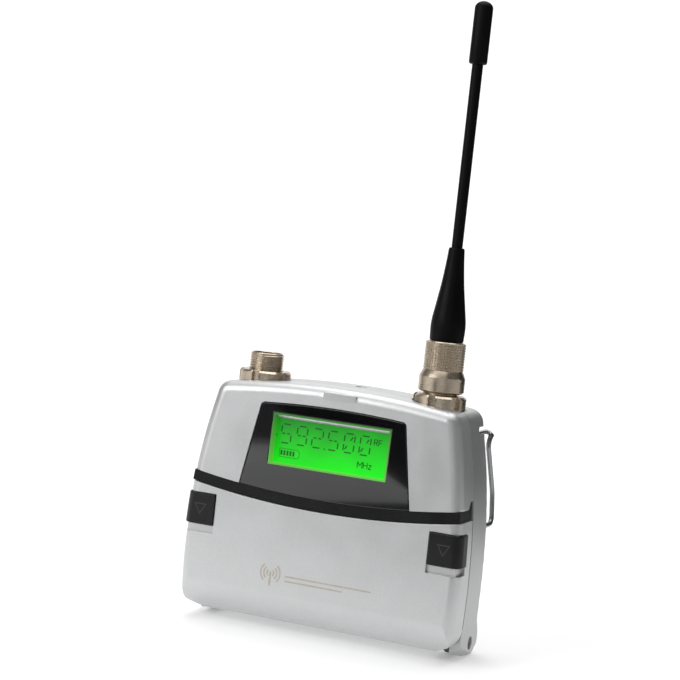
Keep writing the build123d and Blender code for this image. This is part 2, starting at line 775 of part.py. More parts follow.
with BuildPart() as battery_tray:
    ends = ((tray_left - tray_wall, tray_left), (tray_right, tray_right + tray_wall))
    for x_range in ends:
        add(slab(x_range, (tray_front_depth, tray_back_depth + tray_wall),
                 (tray_foot_z, tray_top_z)))
    add(slab((tray_left, tray_right), (tray_back_depth, tray_back_depth + tray_wall),
             (back_foot_z, tray_top_z)))
    add(side_rod(-wide, wide, pin_depth, pin_z, barrel_radius + swing_gap), mode=Mode.SUBTRACT)
    for side in (-1, 1):
        add(slab(sorted((side * (clip_hole_inner_x - clip_block_inner - part_gap), side * wide)),
                 (clip_block_depth - part_gap, shell_depth),
                 (clip_hole_z - clip_pocket_drop - clip_block_rim - part_gap, above_all)),
            mode=Mode.SUBTRACT)
save(battery_tray.part, "battery_tray")

cells = {"lower_cell": (lower_cell_z, -1), "upper_cell": (upper_cell_z, 1)}
for name, (z, plus_side) in cells.items():
    with BuildPart() as cell:
        plus_x = cell_x + plus_side * cell_length / 2
        shoulder_x = plus_x - plus_side * cell_nub
        minus_x = cell_x - plus_side * cell_length / 2
        add(side_rod(minus_x, shoulder_x, cell_depth, z, cell_radius))
        fillet(cell.edges().filter_by(GeomType.CIRCLE), 0.5)
        add(side_rod(shoulder_x, plus_x, cell_depth, z, cell_nub_radius))
    save(cell.part, name)

with BuildPart() as cell_plus_contacts:
    for z, plus_side in cells.values():
        wall_x = cell_x + plus_side * tray_inner_half
        plate_x = wall_x - plus_side * contact_plate
        tip_x = cell_x + plus_side * cell_length / 2
        plate = sorted((wall_x, plate_x))
        add(slab(plate, (cell_depth - contact_plate_half[0], cell_depth + contact_plate_half[0]),
                     (z - contact_plate_half[1], z + contact_plate_half[1])))
        add(side_rod(plate_x, tip_x, cell_depth, z, cell_nub_radius))
save(cell_plus_contacts.part, "cell_plus_contacts")

with BuildPart() as cell_springs:
    for z, plus_side in cells.values():
        wall_x = cell_x - plus_side * tray_inner_half
        turns = 3
        coil_length = cell_end_gap - cell_spring_wire
        start_x = wall_x + plus_side * cell_spring_wire / 2
        lift = coil_length / (turns - 1)
        for turn in range(turns):
            ring_x = start_x + plus_side * lift * turn
            ring_radius = cell_spring_radius - turn * cell_spring_wire * cell_spring_taper
            with BuildSketch(Plane.XZ.offset(-cell_y)):
                with Locations((ring_x, z + ring_radius)):
                    Circle(cell_spring_wire / 2)
            revolve(axis=Axis((ring_x, cell_y, z), (1, 0, 0)))
        add(side_rod(start_x, start_x + plus_side * coil_length, cell_depth,
                     z + cell_spring_radius - cell_spring_wire, cell_spring_wire * cell_spring_pitch))
save(cell_springs.part, "cell_springs")

# ---------------------------------------------------------------- controls beside the cells
with BuildPart() as control_plate:
    add(slab((control_inner_x, control_outer_x),
             (control_plate_depth, control_plate_depth + control_plate_thickness),
             (control_foot_z, control_top_z)))
    for z in (power_button_z, set_button_z):
        add(front_rod(control_x, z, 0, shell_depth, button_radius + button_gap),
            mode=Mode.SUBTRACT)
    add(slab((control_x - rocker_half_width - rocker_gap, control_x + rocker_half_width
              + rocker_gap), (0, shell_depth), (rocker_z - rocker_half_height - rocker_gap,
              rocker_z + rocker_half_height + rocker_gap)), mode=Mode.SUBTRACT)
save(control_plate.part, "control_plate")

flange_depth = control_plate_depth + control_plate_thickness + seat_gap
for name, z in (("power_button", power_button_z), ("set_button", set_button_z)):
    with BuildPart() as button:
        add(front_rod(control_x, z, button_front_depth, flange_depth, button_radius))
        fillet(button.edges().filter_by(GeomType.CIRCLE).sort_by(Axis.Y)[0], button_round)
        add(front_rod(control_x, z, flange_depth, flange_depth + button_flange,
                      button_radius + button_flange))
    save(button.part, name)

with BuildPart() as channel_rocker:
    add(slab((control_x - rocker_half_width, control_x + rocker_half_width),
             (button_front_depth, flange_depth),
             (rocker_z - rocker_half_height, rocker_z + rocker_half_height)))
    fillet(channel_rocker.faces().sort_by(Axis.Y)[0].edges(), button_round)
save(channel_rocker.part, "channel_rocker")

with BuildPart() as control_switches:
    for z in (power_button_z, set_button_z, rocker_z):
        add(slab((control_x - switch_size / 2, control_x + switch_size / 2),
                 (switch_depth, switch_depth + switch_height),
                 (z - switch_size / 2, z + switch_size / 2)))
        add(front_rod(control_x, z, switch_depth - plunger_rise, switch_depth,
                          plunger_radius))
save(control_switches.part, "control_switches")

with BuildPart() as control_board:
    board_depth = switch_depth + switch_height
    add(slab((control_inner_x, ear_inner_x - boss_gap), (board_depth, board_depth + board_thickness),
             (control_foot_z, control_top_z)))
save(control_board.part, "control_board")

# ---------------------------------------------------------------- hinge
for name, side in (("left", -1), ("right", 1)):
    with BuildPart() as hinge_pin:
        add(side_rod(side * pin_inner_x, side * pin_outer_x, pin_depth, pin_z, pin_radius))
        chamfer(hinge_pin.edges().filter_by(GeomType.CIRCLE), pin_chamfer)
    save(hinge_pin.part, "hinge_pin_" + name)

block_profile = [(block_front_depth, block_z[1]), (ear_tip_front, block_z[0]),
                 (ear_tip_back, block_z[0]),
                 (block_back_depth, block_z[2]), (block_back_depth, block_z[3]),
                 (block_front_depth, block_z[4])]
with BuildPart() as hinge_blocks:
    for side in (-1, 1):
        add(side_prism(block_profile, side * hinge_block_inner_x,
                       side * (ear_inner_x - near)))
    add(side_rod(-wide, wide, pin_depth, pin_z, pin_radius), mode=Mode.SUBTRACT)
save(hinge_blocks.part, "hinge_blocks")

# ---------------------------------------------------------------- battery door
latch_low_z = latch_foot_z - latch_travel - latch_gap
stem_z = (latch_mid_z - latch_stem_height / 2, latch_mid_z + latch_stem_height / 2)


def latch_zone(side, inner_x, z_range, depth):
    """Corner of the housing that a latch covers."""
    return slab(sorted((side * inner_x, side * wide)), (-wide, depth), z_range)


with BuildPart() as battery_door:
    add(outer)
    add(door_inner - (above_band(-door_wall - seam_gap) & slab(
        (-wide, wide), (-wide, door_lip_depth), (-1, above_all))), mode=Mode.SUBTRACT)
    add(before_door_seam, mode=Mode.INTERSECT)
    add(above_band(-seam_gap), mode=Mode.SUBTRACT)
    for side in (-1, 1):
        with BuildSketch(Plane.XZ):
            with BuildLine():
                Polyline((side * corner_cut_x, -1), (side * corner_cut_x, corner_cut_z[0]),
                         (side * half_width, corner_cut_z[1]), (side * wide, corner_cut_z[1]),
                         (side * wide, -1), close=True)
            make_face()
        extrude(amount=wide, both=True, mode=Mode.SUBTRACT)
    skirt = [(seam_depth - 1, housing_base_z), (pin_depth, pin_z - barrel_radius),
             (pin_depth, pin_z), (seam_depth - 1, housing_base_z + door_wall)]
    add(side_prism(skirt, -barrel_half_length, barrel_half_length))
    add(side_rod(-barrel_half_length, barrel_half_length, pin_depth, pin_z, barrel_radius))
    for side in (-1, 1):
        add(side_rod(side * (pin_inner_x - seat_gap), side * wide, pin_depth, pin_z,
                     pin_radius + hinge_clearance), mode=Mode.SUBTRACT)
        recess = latch_zone(side, latch_inner_x - latch_gap,
                            (latch_low_z, latch_top_z + latch_gap), latch_reach + latch_gap)
        add((recess & outer) - envelope(latch_skin - latch_proud + seat_gap), mode=Mode.SUBTRACT)
        slot_x = sorted((side * (latch_stem_x - latch_stem_width / 2 - latch_gap),
                         side * (latch_stem_x + latch_stem_width / 2 + latch_gap)))
        add(slab(slot_x, (-2, door_lip_depth), (stem_z[0] - latch_travel - latch_gap,
                                                stem_z[1] + latch_gap)), mode=Mode.SUBTRACT)
save(battery_door.part, "battery_door")

seat_z = latch_mid_z - latch_stem_height / 2 - slider_thickness - spring_length
with BuildPart() as door_liner:
    add(door_inner)
    add(slab((-door_liner_half_width, door_liner_half_width), (-wide, door_liner_depth),
             (door_liner_foot_z, door_liner_top_z))
        + slab((-latch_stem_x - slider_half_width, latch_stem_x + slider_half_width),
               (-wide, door_lip_depth), (seat_z - spring_seat_height, seat_z)),
        mode=Mode.INTERSECT)
save(door_liner.part, "door_liner")

latch_shell = envelope(-latch_proud, front_edge_radius) - envelope(latch_skin - latch_proud)
for name, side in (("left", -1), ("right", 1)):
    with BuildPart() as latch:
        add(latch_shell & latch_zone(side, latch_inner_x, (latch_foot_z, latch_top_z),
                                     latch_reach))
        stem_x = sorted((side * (latch_stem_x - latch_stem_width / 2),
                         side * (latch_stem_x + latch_stem_width / 2)))
        slider_x = sorted((side * (latch_stem_x - slider_half_width),
                           side * (latch_stem_x + slider_half_width)))
        slider_depth = door_wall - front_bulge + slider_gap
        add(slab(stem_x, (0.0, slider_depth + slider_thickness), stem_z))
        add(slab(slider_x, (slider_depth, slider_depth + slider_thickness),
                 (stem_z[0] - slider_thickness, stem_z[1] + slider_thickness)))
        add(slab(stem_x, (slider_depth, tongue_depth), (stem_z[1], stem_z[1] + slider_thickness)))
    save(latch.part, "latch_" + name)
    with BuildPart() as latch_spring:
        coil_y = front_y + door_wall - front_bulge + spring_radius + spring_wire
        coil_x = side * latch_stem_x
        turns = latch_spring_turns
        step = (spring_length - spring_wire) / (turns - 1)
        for turn in range(turns):
            ring_z = seat_z + spring_wire / 2 + turn * step
            with BuildSketch(Plane.XZ.offset(-coil_y)):
                with Locations((coil_x + spring_radius, ring_z)):
                    Circle(spring_wire / 2)
            revolve(axis=Axis((coil_x, coil_y, 0), (0, 0, 1)))
        add(post(coil_x + spring_radius, coil_y, seat_z + spring_wire / 2,
                 seat_z + spring_length - spring_wire / 2, spring_wire * spring_bar_share))
    save(latch_spring.part, "latch_spring_" + name)

# ---------------------------------------------------------------- belt clip
run_y = back_y + clip_reach
pinch_x = half_width - clip_pinch_inset
clip_lean = (clip_x + clip_spread - pinch_x) / (clip_pinch_z - clip_hole_z)
upright_x = clip_x + clip_spread - clip_lean * (clip_upright_z - clip_hole_z)
right_half = [(clip_hole_inner_x + clip_end_gap, pin_y, clip_hole_z), (clip_x, pin_y, clip_hole_z),
              (clip_x + clip_spread, run_y, clip_hole_z), (upright_x, run_y, clip_upright_z),
              (pinch_x, back_y + clip_pinch, clip_pinch_z),
              (half_width - clip_lip_inset, back_y + clip_lip_reach, clip_lip_z),
              (half_width - clip_bar_inset, back_y + clip_bar_reach, clip_bar_z)]
left_half = [(-x, y, z) for x, y, z in reversed(right_half)]
corner_radii = clip_bend_radii

with BuildPart() as belt_clip:
    with BuildLine() as clip_path:
        FilletPolyline(*right_half, *left_half, radius=corner_radii + corner_radii[::-1])
    with BuildSketch(Plane(right_half[0], z_dir=(1, 0, 0))):
        Circle(clip_wire / 2)
    sweep(path=clip_path.wires()[0])
save(belt_clip.part, "belt_clip")
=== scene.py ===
"""Looks of the wireless bodypack transmitter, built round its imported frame. Metres, +Z up."""

from math import cos, pi, radians, sin

import bmesh
import bpy
from mathutils import Matrix, Vector
from mathutils.bvhtree import BVHTree


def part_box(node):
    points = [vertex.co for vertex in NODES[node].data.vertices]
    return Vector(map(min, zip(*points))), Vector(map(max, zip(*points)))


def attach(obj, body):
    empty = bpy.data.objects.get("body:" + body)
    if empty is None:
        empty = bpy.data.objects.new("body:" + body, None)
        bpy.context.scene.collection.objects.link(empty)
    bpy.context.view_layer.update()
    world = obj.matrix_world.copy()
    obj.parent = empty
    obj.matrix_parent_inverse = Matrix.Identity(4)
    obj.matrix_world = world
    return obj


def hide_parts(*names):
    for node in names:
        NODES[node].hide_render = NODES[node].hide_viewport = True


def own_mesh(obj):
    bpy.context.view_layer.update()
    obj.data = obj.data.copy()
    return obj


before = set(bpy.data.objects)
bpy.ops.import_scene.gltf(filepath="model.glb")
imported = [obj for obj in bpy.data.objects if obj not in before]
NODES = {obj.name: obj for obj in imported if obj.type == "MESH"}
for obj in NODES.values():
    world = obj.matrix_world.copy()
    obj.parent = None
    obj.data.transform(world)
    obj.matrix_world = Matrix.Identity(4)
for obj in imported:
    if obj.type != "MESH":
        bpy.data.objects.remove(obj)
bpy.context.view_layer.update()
MM = 0.001
scene = bpy.context.scene
WHOLE_TURN = 2 * pi


def corners(node):
    """Lowest and highest corner of a node as vectors."""
    low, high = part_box(node)
    return Vector(low), Vector(high)


def middle(node):
    low, high = corners(node)
    return (low + high) / 2


# ---------------------------------------------------------------- shared shader groups
def new_group(name, inputs, outputs):
    """Shader node group of floats: inputs maps names to defaults, outputs lists names."""
    group = bpy.data.node_groups.new(name, "ShaderNodeTree")
    for label, value in inputs.items():
        socket = group.interface.new_socket(name=label, in_out="INPUT",
                                            socket_type="NodeSocketFloat")
        socket.default_value = value
    for label in outputs:
        group.interface.new_socket(name=label, in_out="OUTPUT", socket_type="NodeSocketFloat")
    entry = group.nodes.new("NodeGroupInput")
    leave = group.nodes.new("NodeGroupOutput")
    return group, entry, leave


def math_node(tree, operation, first, second=None, clamp=False):
    """Math node; each operand is a socket or a number."""
    node = tree.nodes.new("ShaderNodeMath")
    node.operation = operation
    node.use_clamp = clamp
    for index, value in enumerate((first, second)):
        if value is None:
            continue
        if isinstance(value, (int, float)):
            node.inputs[index].default_value = value
        else:
            tree.links.new(value, node.inputs[index])
    return node.outputs[0]


def noise_node(tree, scale, detail=3.0, roughness=0.55, vector=None):
    node = tree.nodes.new("ShaderNodeTexNoise")
    node.inputs["Detail"].default_value = detail
    node.inputs["Roughness"].default_value = roughness
    if isinstance(scale, (int, float)):
        node.inputs["Scale"].default_value = scale
    else:
        tree.links.new(scale, node.inputs["Scale"])
    if vector is None:
        vector = tree.nodes.new("ShaderNodeTexCoord").outputs["Object"]
    tree.links.new(vector, node.inputs["Vector"])
    return node.outputs[0]


def remap(tree, value, from_low, from_high, to_low=0.0, to_high=1.0):
    node = tree.nodes.new("ShaderNodeMapRange")
    for label, number in (("From Min", from_low), ("From Max", from_high),
                          ("To Min", to_low), ("To Max", to_high)):
        node.inputs[label].default_value = number
    tree.links.new(value, node.inputs["Value"])
    return node.outputs[0]


def mix_color(tree, factor, first, second, blend="MIX"):
    """Colour mix; the factor and both colours are sockets or values."""
    node = tree.nodes.new("ShaderNodeMix")
    node.data_type = "RGBA"
    node.blend_type = blend
    for socket, value in ((node.inputs[0], factor), (node.inputs[6], first),
                          (node.inputs[7], second)):
        if isinstance(value, (int, float)):
            socket.default_value = value
        elif isinstance(value, tuple):
            socket.default_value = (*value, 1.0)
        else:
            tree.links.new(value, socket)
    return node.outputs[2]


def build_grain():
    """Two sizes of grain: a tint for colour and roughness, and a height for bump."""
    group, entry, leave = new_group(
        "surface_grain", {"Scale": 3000.0, "Blotch Scale": 90.0}, ("Tint", "Blotch", "Height"))
    fine = noise_node(group, entry.outputs["Scale"], 4.0)
    blotch = noise_node(group, entry.outputs["Blotch Scale"], 5.0, 0.6)
    group.links.new(remap(group, fine, 0.3, 0.7), leave.inputs["Tint"])
    group.links.new(remap(group, blotch, 0.35, 0.65), leave.inputs["Blotch"])
    group.links.new(fine, leave.inputs["Height"])
    return group


def build_wear():
    """Mask of rubbed edges: where the rounded normal departs from the true one, broken up."""
    group, entry, leave = new_group(
        "edge_wear", {"Radius": 0.0002, "Break Up": 900.0, "Amount": 0.5}, ("Mask",))
    rounded = group.nodes.new("ShaderNodeBevel")
    rounded.samples = 4
    group.links.new(entry.outputs["Radius"], rounded.inputs["Radius"])
    true_normal = group.nodes.new("ShaderNodeNewGeometry").outputs["Normal"]
    dot = group.nodes.new("ShaderNodeVectorMath")
    dot.operation = "DOT_PRODUCT"
    group.links.new(rounded.outputs[0], dot.inputs[0])
    group.links.new(true_normal, dot.inputs[1])
    edge = remap(group, dot.outputs["Value"], 0.995, 0.9)
    broken = remap(group, noise_node(group, entry.outputs["Break Up"], 6.0, 0.65), 0.42, 0.62)
    worn = math_node(group, "MULTIPLY", edge, broken)
    group.links.new(math_node(group, "MULTIPLY", worn, entry.outputs["Amount"], clamp=True),
                    leave.inputs["Mask"])
    return group


def build_dust():
    """Thin dust that settles on faces that look up, and in specks elsewhere."""
    group, entry, leave = new_group(
        "settled_dust", {"Amount": 0.3, "Speck Scale": 1500.0}, ("Mask",))
    normal = group.nodes.new("ShaderNodeNewGeometry").outputs["Normal"]
    split = group.nodes.new("ShaderNodeSeparateXYZ")
    group.links.new(normal, split.inputs[0])
    upward = remap(group, split.outputs["Z"], 0.1, 1.0, 0.12, 1.0)
    specks = remap(group, noise_node(group, entry.outputs["Speck Scale"], 5.0, 0.7), 0.5, 0.8)
    mask = math_node(group, "MULTIPLY", upward, specks)
    group.links.new(math_node(group, "MULTIPLY", mask, entry.outputs["Amount"], clamp=True),
                    leave.inputs["Mask"])
    return group


def build_scratches():
    """Fine hairlines that lie mostly one way, for roughness and bump."""
    group, entry, leave = new_group(
        "hairlines", {"Scale": 300.0, "Stretch": 12.0}, ("Lines",))
    place = group.nodes.new("ShaderNodeTexCoord").outputs["Object"]
    split = group.nodes.new("ShaderNodeSeparateXYZ")
    group.links.new(place, split.inputs[0])
    join = group.nodes.new("ShaderNodeCombineXYZ")
    group.links.new(split.outputs["X"], join.inputs["X"])
    group.links.new(split.outputs["Y"], join.inputs["Y"])
    group.links.new(math_node(group, "MULTIPLY", split.outputs["Z"], entry.outputs["Stretch"]),
                    join.inputs["Z"])
    lines = noise_node(group, entry.outputs["Scale"], 6.0, 0.7, join.outputs[0])
    group.links.new(remap(group, lines, 0.3, 0.7), leave.inputs["Lines"])
    return group


GRAIN = build_grain()
WEAR = build_wear()
DUST = build_dust()
HAIRLINES = build_scratches()


def use_group(tree, group, **values):
    node = tree.nodes.new("ShaderNodeGroup")
    node.node_tree = group
    for label, value in values.items():
        node.inputs[label.replace("_", " ")].default_value = value
    return node


class Finish:
    """A material whose layers are laid over each other: grain, hairlines, wear, dust."""

    def __init__(self, name, color, roughness, metallic=0.0):
        self.material = bpy.data.materials.new(name)
        self.material.use_nodes = True
        self.tree = self.material.node_tree
        self.shader = self.tree.nodes["Principled BSDF"]
        self.shader.inputs["Metallic"].default_value = metallic
        self.color = color
        self.rough = roughness
        self.height = None
        self.base_rough = roughness
        self.material.diffuse_color = (*color, 1.0) if isinstance(color, tuple) else (1, 1, 1, 1)

    def paint(self, pattern):
        """Replaces the colour so far with what pattern(tree, colour) returns."""
        self.color = pattern(self.tree, self.color)
        return self

    def grain(self, scale, depth, tint=0.06, blotch=0.05, rough=0.08, blotch_scale=90.0):
        tree = self.tree
        node = use_group(tree, GRAIN, Scale=scale, Blotch_Scale=blotch_scale)
        dark = mix_color(tree, 1.0, self.color, (1 - tint,) * 3, "MULTIPLY")
        self.color = mix_color(tree, node.outputs["Tint"], dark, self.color)
        dim = mix_color(tree, 1.0, self.color, (1 - blotch,) * 3, "MULTIPLY")
        self.color = mix_color(tree, node.outputs["Blotch"], dim, self.color)
        spread = math_node(tree, "MULTIPLY", node.outputs["Blotch"], rough)
        self.rough = math_node(tree, "ADD", spread, self.base_rough - rough / 2)
        self.add_height(node.outputs["Height"], depth)
        return self

    def hairlines(self, scale=300.0, stretch=12.0, depth=0.000002, rough=0.08):
        tree = self.tree
        node = use_group(tree, HAIRLINES, Scale=scale, Stretch=stretch)
        spread = math_node(tree, "MULTIPLY", node.outputs["Lines"], rough)
        self.rough = math_node(tree, "ADD", self.rough, spread)
        self.add_height(node.outputs["Lines"], depth)
        return self

    def add_height(self, socket, depth):
        scaled = math_node(self.tree, "MULTIPLY", socket, depth)
        self.height = scaled if self.height is None else math_node(
            self.tree, "ADD", self.height, scaled)

    def wear(self, color, amount=0.5, radius=0.0002, rough=0.3, break_up=900.0):
        tree = self.tree
        mask = use_group(tree, WEAR, Radius=radius, Break_Up=break_up,
                         Amount=amount).outputs["Mask"]
        self.color = mix_color(tree, mask, self.color, color)
        self.rough = math_node(tree, "ADD", self.rough,
                               math_node(tree, "MULTIPLY", mask, rough - self.base_rough))
        return self

    def dust(self, amount=0.25, color=(0.62, 0.6, 0.57), scale=1500.0):
        tree = self.tree
        mask = use_group(tree, DUST, Amount=amount, Speck_Scale=scale).outputs["Mask"]
        self.color = mix_color(tree, mask, self.color, color)
        self.rough = math_node(tree, "ADD", self.rough, math_node(tree, "MULTIPLY", mask, 0.4))
        return self

    def close(self, rounding=0.00012, **sockets):
        """Links the layers to the shader, with softened edges under the bump."""
        tree = self.tree
        bump = tree.nodes.new("ShaderNodeBump")
        bump.inputs["Distance"].default_value = 1.0
        bump.inputs["Strength"].default_value = 1.0
        if self.height is not None:
            tree.links.new(self.height, bump.inputs["Height"])
        if rounding:
            soft = tree.nodes.new("ShaderNodeBevel")
            soft.samples = 4
            soft.inputs["Radius"].default_value = rounding
            tree.links.new(soft.outputs[0], bump.inputs["Normal"])
        tree.links.new(bump.outputs[0], self.shader.inputs["Normal"])
        if isinstance(self.color, tuple):
            self.shader.inputs["Base Color"].default_value = (*self.color, 1.0)
        else:
            tree.links.new(self.color, self.shader.inputs["Base Color"])
        if isinstance(self.rough, (int, float)):
            self.shader.inputs["Roughness"].default_value = self.rough
        else:
            tree.links.new(self.rough, self.shader.inputs["Roughness"])
        for label, value in sockets.items():
            self.shader.inputs[label.replace("_", " ")].default_value = value
        return self.material


# ---------------------------------------------------------------- finishes
def silver_paint(name, color):
    return (Finish(name, color, 0.4, 0.72)
            .grain(5200.0, 0.0000022, tint=0.1, blotch=0.035, rough=0.07, blotch_scale=120.0)
            .hairlines(140.0, 0.25, 0.0000008, 0.04)
            .wear((0.8, 0.8, 0.79), 0.45, 0.00018, 0.28)
            .dust(0.12)
            .close(0.00016, Coat_Weight=0.18, Coat_Roughness=0.22))


def moulded_black(name, level, rough, grain_scale=2600.0, depth=0.000012, wear=0.5):
    return (Finish(name, (level, level, level * 1.05), rough)
            .grain(grain_scale, depth, tint=0.25, blotch=0.12, rough=0.1, blotch_scale=200.0)
            .wear((0.12, 0.12, 0.122), wear, 0.00016, 0.32, 1300.0)
            .dust(0.16, (0.2, 0.19, 0.185))
            .close(0.0001, Specular_IOR_Level=0.22))


def metal(name, color, rough, stretch=18.0, wear_color=None, coat=0.0):
    finish = Finish(name, color, rough, 1.0)
    finish.grain(2400.0, 0.000001, tint=0.06, blotch=0.1, rough=0.1, blotch_scale=420.0)
    finish.hairlines(520.0, stretch, 0.0000025, 0.1)
    finish.wear(wear_color or tuple(min(1.0, 1.25 * c) for c in color), 0.6, 0.00012, 0.18)
    return finish.dust(0.08).close(0.00008, Coat_Weight=coat, Coat_Roughness=0.15)


# Two copies of one silver paint: the front cover and door get the lighter copy, painted light on
# the faces turned to the lamps; the rear housing gets the darker one.
SILVER = silver_paint("satin_silver_paint", (0.56, 0.565, 0.57))
SILVER_PAINTED_FRONT_LIGHT = silver_paint("satin_silver_paint_painted_front_light", (0.64, 0.645, 0.65))
BAND_BLACK = moulded_black("seal_band_black", 0.011, 0.34, 1800.0, 0.000005)
LATCH_BLACK = moulded_black("latch_textured_black", 0.016, 0.42, 2400.0, 0.00002, 0.7)
PLAIN_BLACK = moulded_black("inner_moulding_black", 0.02, 0.5)
RUBBER = (Finish("antenna_rubber", (0.0035, 0.0035, 0.0038), 0.42)
          .grain(1900.0, 0.000006, tint=0.3, blotch=0.2, rough=0.14, blotch_scale=160.0)
          .hairlines(220.0, 0.4, 0.000002, 0.06)
          .dust(0.06, (0.08, 0.08, 0.08), 2100.0)
          .close(0.0001, Specular_IOR_Level=0.1))
NICKEL = metal("warm_nickel_plating", (0.6, 0.51, 0.4), 0.24, 22.0, (0.8, 0.72, 0.6))
STEEL = metal("turned_steel", (0.52, 0.52, 0.53), 0.3, 16.0)
WIRE = metal("drawn_spring_wire", (0.3, 0.3, 0.31), 0.26, 0.2)
TIN = metal("tin_plate", (0.64, 0.65, 0.66), 0.34, 1.0)
GOLD = metal("gold_plating", (0.83, 0.6, 0.27), 0.22, 8.0)
SOCKET_DARK = (Finish("socket_insulator", (0.045, 0.035, 0.028), 0.45)
               .grain(3000.0, 0.000008, tint=0.2, blotch=0.15).dust(0.2).close(0.00006))
BUTTON_GREY = (Finish("soft_button_grey", (0.13, 0.13, 0.135), 0.6)
               .grain(2800.0, 0.00001, tint=0.15, blotch=0.1)
               .wear((0.3, 0.3, 0.3), 0.4).dust(0.25).close(0.0001))


def board_pattern(tree, color):
    """Solder mask over copper pours and rows of pads."""
    place = tree.nodes.new("ShaderNodeTexCoord").outputs["Object"]
    cells = tree.nodes.new("ShaderNodeTexVoronoi")
    cells.distance = "CHEBYCHEV"
    cells.feature = "F1"
    cells.inputs["Scale"].default_value = 420.0
    tree.links.new(place, cells.inputs["Vector"])
    pads = remap(tree, cells.outputs["Distance"], 0.14, 0.12)
    pour = remap(tree, noise_node(tree, 260.0, 2.0), 0.49, 0.51)
    masked = mix_color(tree, pour, color, (0.045, 0.23, 0.1))
    return mix_color(tree, pads, masked, (0.62, 0.6, 0.52))


BOARD = (Finish("board_solder_mask", (0.02, 0.13, 0.055), 0.32).paint(board_pattern)
         .grain(1500.0, 0.000006, tint=0.12, blotch=0.1).dust(0.15).close(0.00005))


def window_pattern(tree, color):
    """Very slow tone change of the tinted panel."""
    tone = remap(tree, noise_node(tree, 30.0, 1.0), 0.3, 0.7)
    return mix_color(tree, tone, color, (0.007, 0.0075, 0.009))


WINDOW = (Finish("dark_polished_window", (0.0035, 0.0035, 0.004), 0.06).paint(window_pattern)
          .grain(900.0, 0.0000004, tint=0.1, blotch=0.1, rough=0.03, blotch_scale=60.0)
          .dust(0.05, (0.3, 0.3, 0.3), 2600.0)
          .close(0.00015, Coat_Weight=0.6, Coat_Roughness=0.03, IOR=1.5))

display_low, display_high = corners("lcd_bezel")


def display_glow_with_painted_shade(tree):
    """Glow that is dim in the upper left and bright along the lower edge: the backlight's own
    glow, with painted shade of the display's recess at the top and left.
    """
    place = tree.nodes.new("ShaderNodeTexCoord").outputs["Object"]
    split = tree.nodes.new("ShaderNodeSeparateXYZ")
    tree.links.new(place, split.inputs[0])
    rise = remap(tree, split.outputs["Z"], display_high.z, display_low.z)
    across = remap(tree, split.outputs["X"], display_low.x, display_high.x)
    cloud = noise_node(tree, 130.0, 2.0)
    # The slope darkens the top and the left: painted shade of the recess round the display.
    slope = math_node(tree, "ADD", math_node(tree, "MULTIPLY", rise, 0.72),
                      math_node(tree, "MULTIPLY", across, 0.12))
    glow = math_node(tree, "ADD", slope, math_node(tree, "MULTIPLY", cloud, 0.28), clamp=True)
    return remap(tree, glow, 0.2, 0.95)


def lit_material(name, dim, bright):
    """Lit surface whose emission goes from dim to bright by the display's glow pattern, which
    holds painted shade at the top and left.
    """
    finish = Finish(name, (0.004, 0.05, 0.006), 0.35)
    tree = finish.tree
    tone = mix_color(tree, display_glow_with_painted_shade(tree), dim, bright)
    tree.links.new(tone, finish.shader.inputs["Emission Color"])
    finish.shader.inputs["Emission Strength"].default_value = 1.0
    finish.grain(2200.0, 0.000001, tint=0.08, blotch=0.05)
    return finish.close(0.0)


LCD = lit_material("backlit_display", (0.003, 0.16, 0.006), (0.004, 0.9, 0.004))
# The bezel round the display is no lamp: its green glow is painted light, the backlight's spill
# and reflection on the frame's edge.
LCD_EDGE_PAINTED_GLOW = lit_material("display_edge_painted_glow", (0.03, 0.16, 0.02), (0.12, 0.5, 0.06))
INK = lit_material("display_segment_ink", (0.001, 0.035, 0.002), (0.001, 0.075, 0.002))
GUIDE = lit_material("light_guide", (0.05, 0.4, 0.05), (0.1, 0.8, 0.1))


def print_pattern(tree, color):
    """Slightly uneven coverage of a printed mark."""
    cover = remap(tree, noise_node(tree, 2600.0, 4.0), 0.3, 0.6)
    return mix_color(tree, cover, (0.56, 0.52, 0.46), color)


PRINT = (Finish("warm_grey_print", (0.47, 0.42, 0.35), 0.5).paint(print_pattern)
         .grain(3600.0, 0.000002, tint=0.08, blotch=0.06).close(0.00004))


def sleeve_pattern(tree, color):
    """Sleeve of a cell: dark body with a lighter band near one end, by place along X."""
    place = tree.nodes.new("ShaderNodeTexCoord").outputs["Object"]
    split = tree.nodes.new("ShaderNodeSeparateXYZ")
    tree.links.new(place, split.inputs[0])
    low, high = corners("lower_cell")
    band = remap(tree, split.outputs["X"], low.x + 0.33 * (high.x - low.x) - 0.0002,
                 low.x + 0.33 * (high.x - low.x))
    return mix_color(tree, band, color, (0.5, 0.34, 0.1))


SLEEVE = (Finish("cell_sleeve", (0.03, 0.035, 0.05), 0.28).paint(sleeve_pattern)
          .grain(1200.0, 0.000004, tint=0.1, blotch=0.1).wear((0.4, 0.4, 0.4), 0.3).dust(0.1)
          .close(0.00008, Coat_Weight=0.5, Coat_Roughness=0.1))


# ---------------------------------------------------------------- building helpers
WELD = 2e-7                   # points closer than this are one, in metres
CAD_WELD = 2e-6
SMOOTH_ANGLE = 32.0           # edges that bend more than this stay sharp, in degrees
FLAT_ANGLE = 0.4              # faces that bend less than this are one, in degrees
FACE_AREA_WEIGHT = 60
LIFT = 0.004 * MM             # printed marks lie this far in front of their surface
IN_FRONT = -0.1               # y from which rays towards a front face start


def add_object(name, mesh, material, body, replaced=()):
    """Object at the origin that rides on a body."""
    obj = bpy.data.objects.new(name, mesh)
    scene.collection.objects.link(obj)
    mesh.materials.clear()
    mesh.materials.append(material)
    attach(obj, body)
    if replaced:
        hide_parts(*replaced)
    return obj


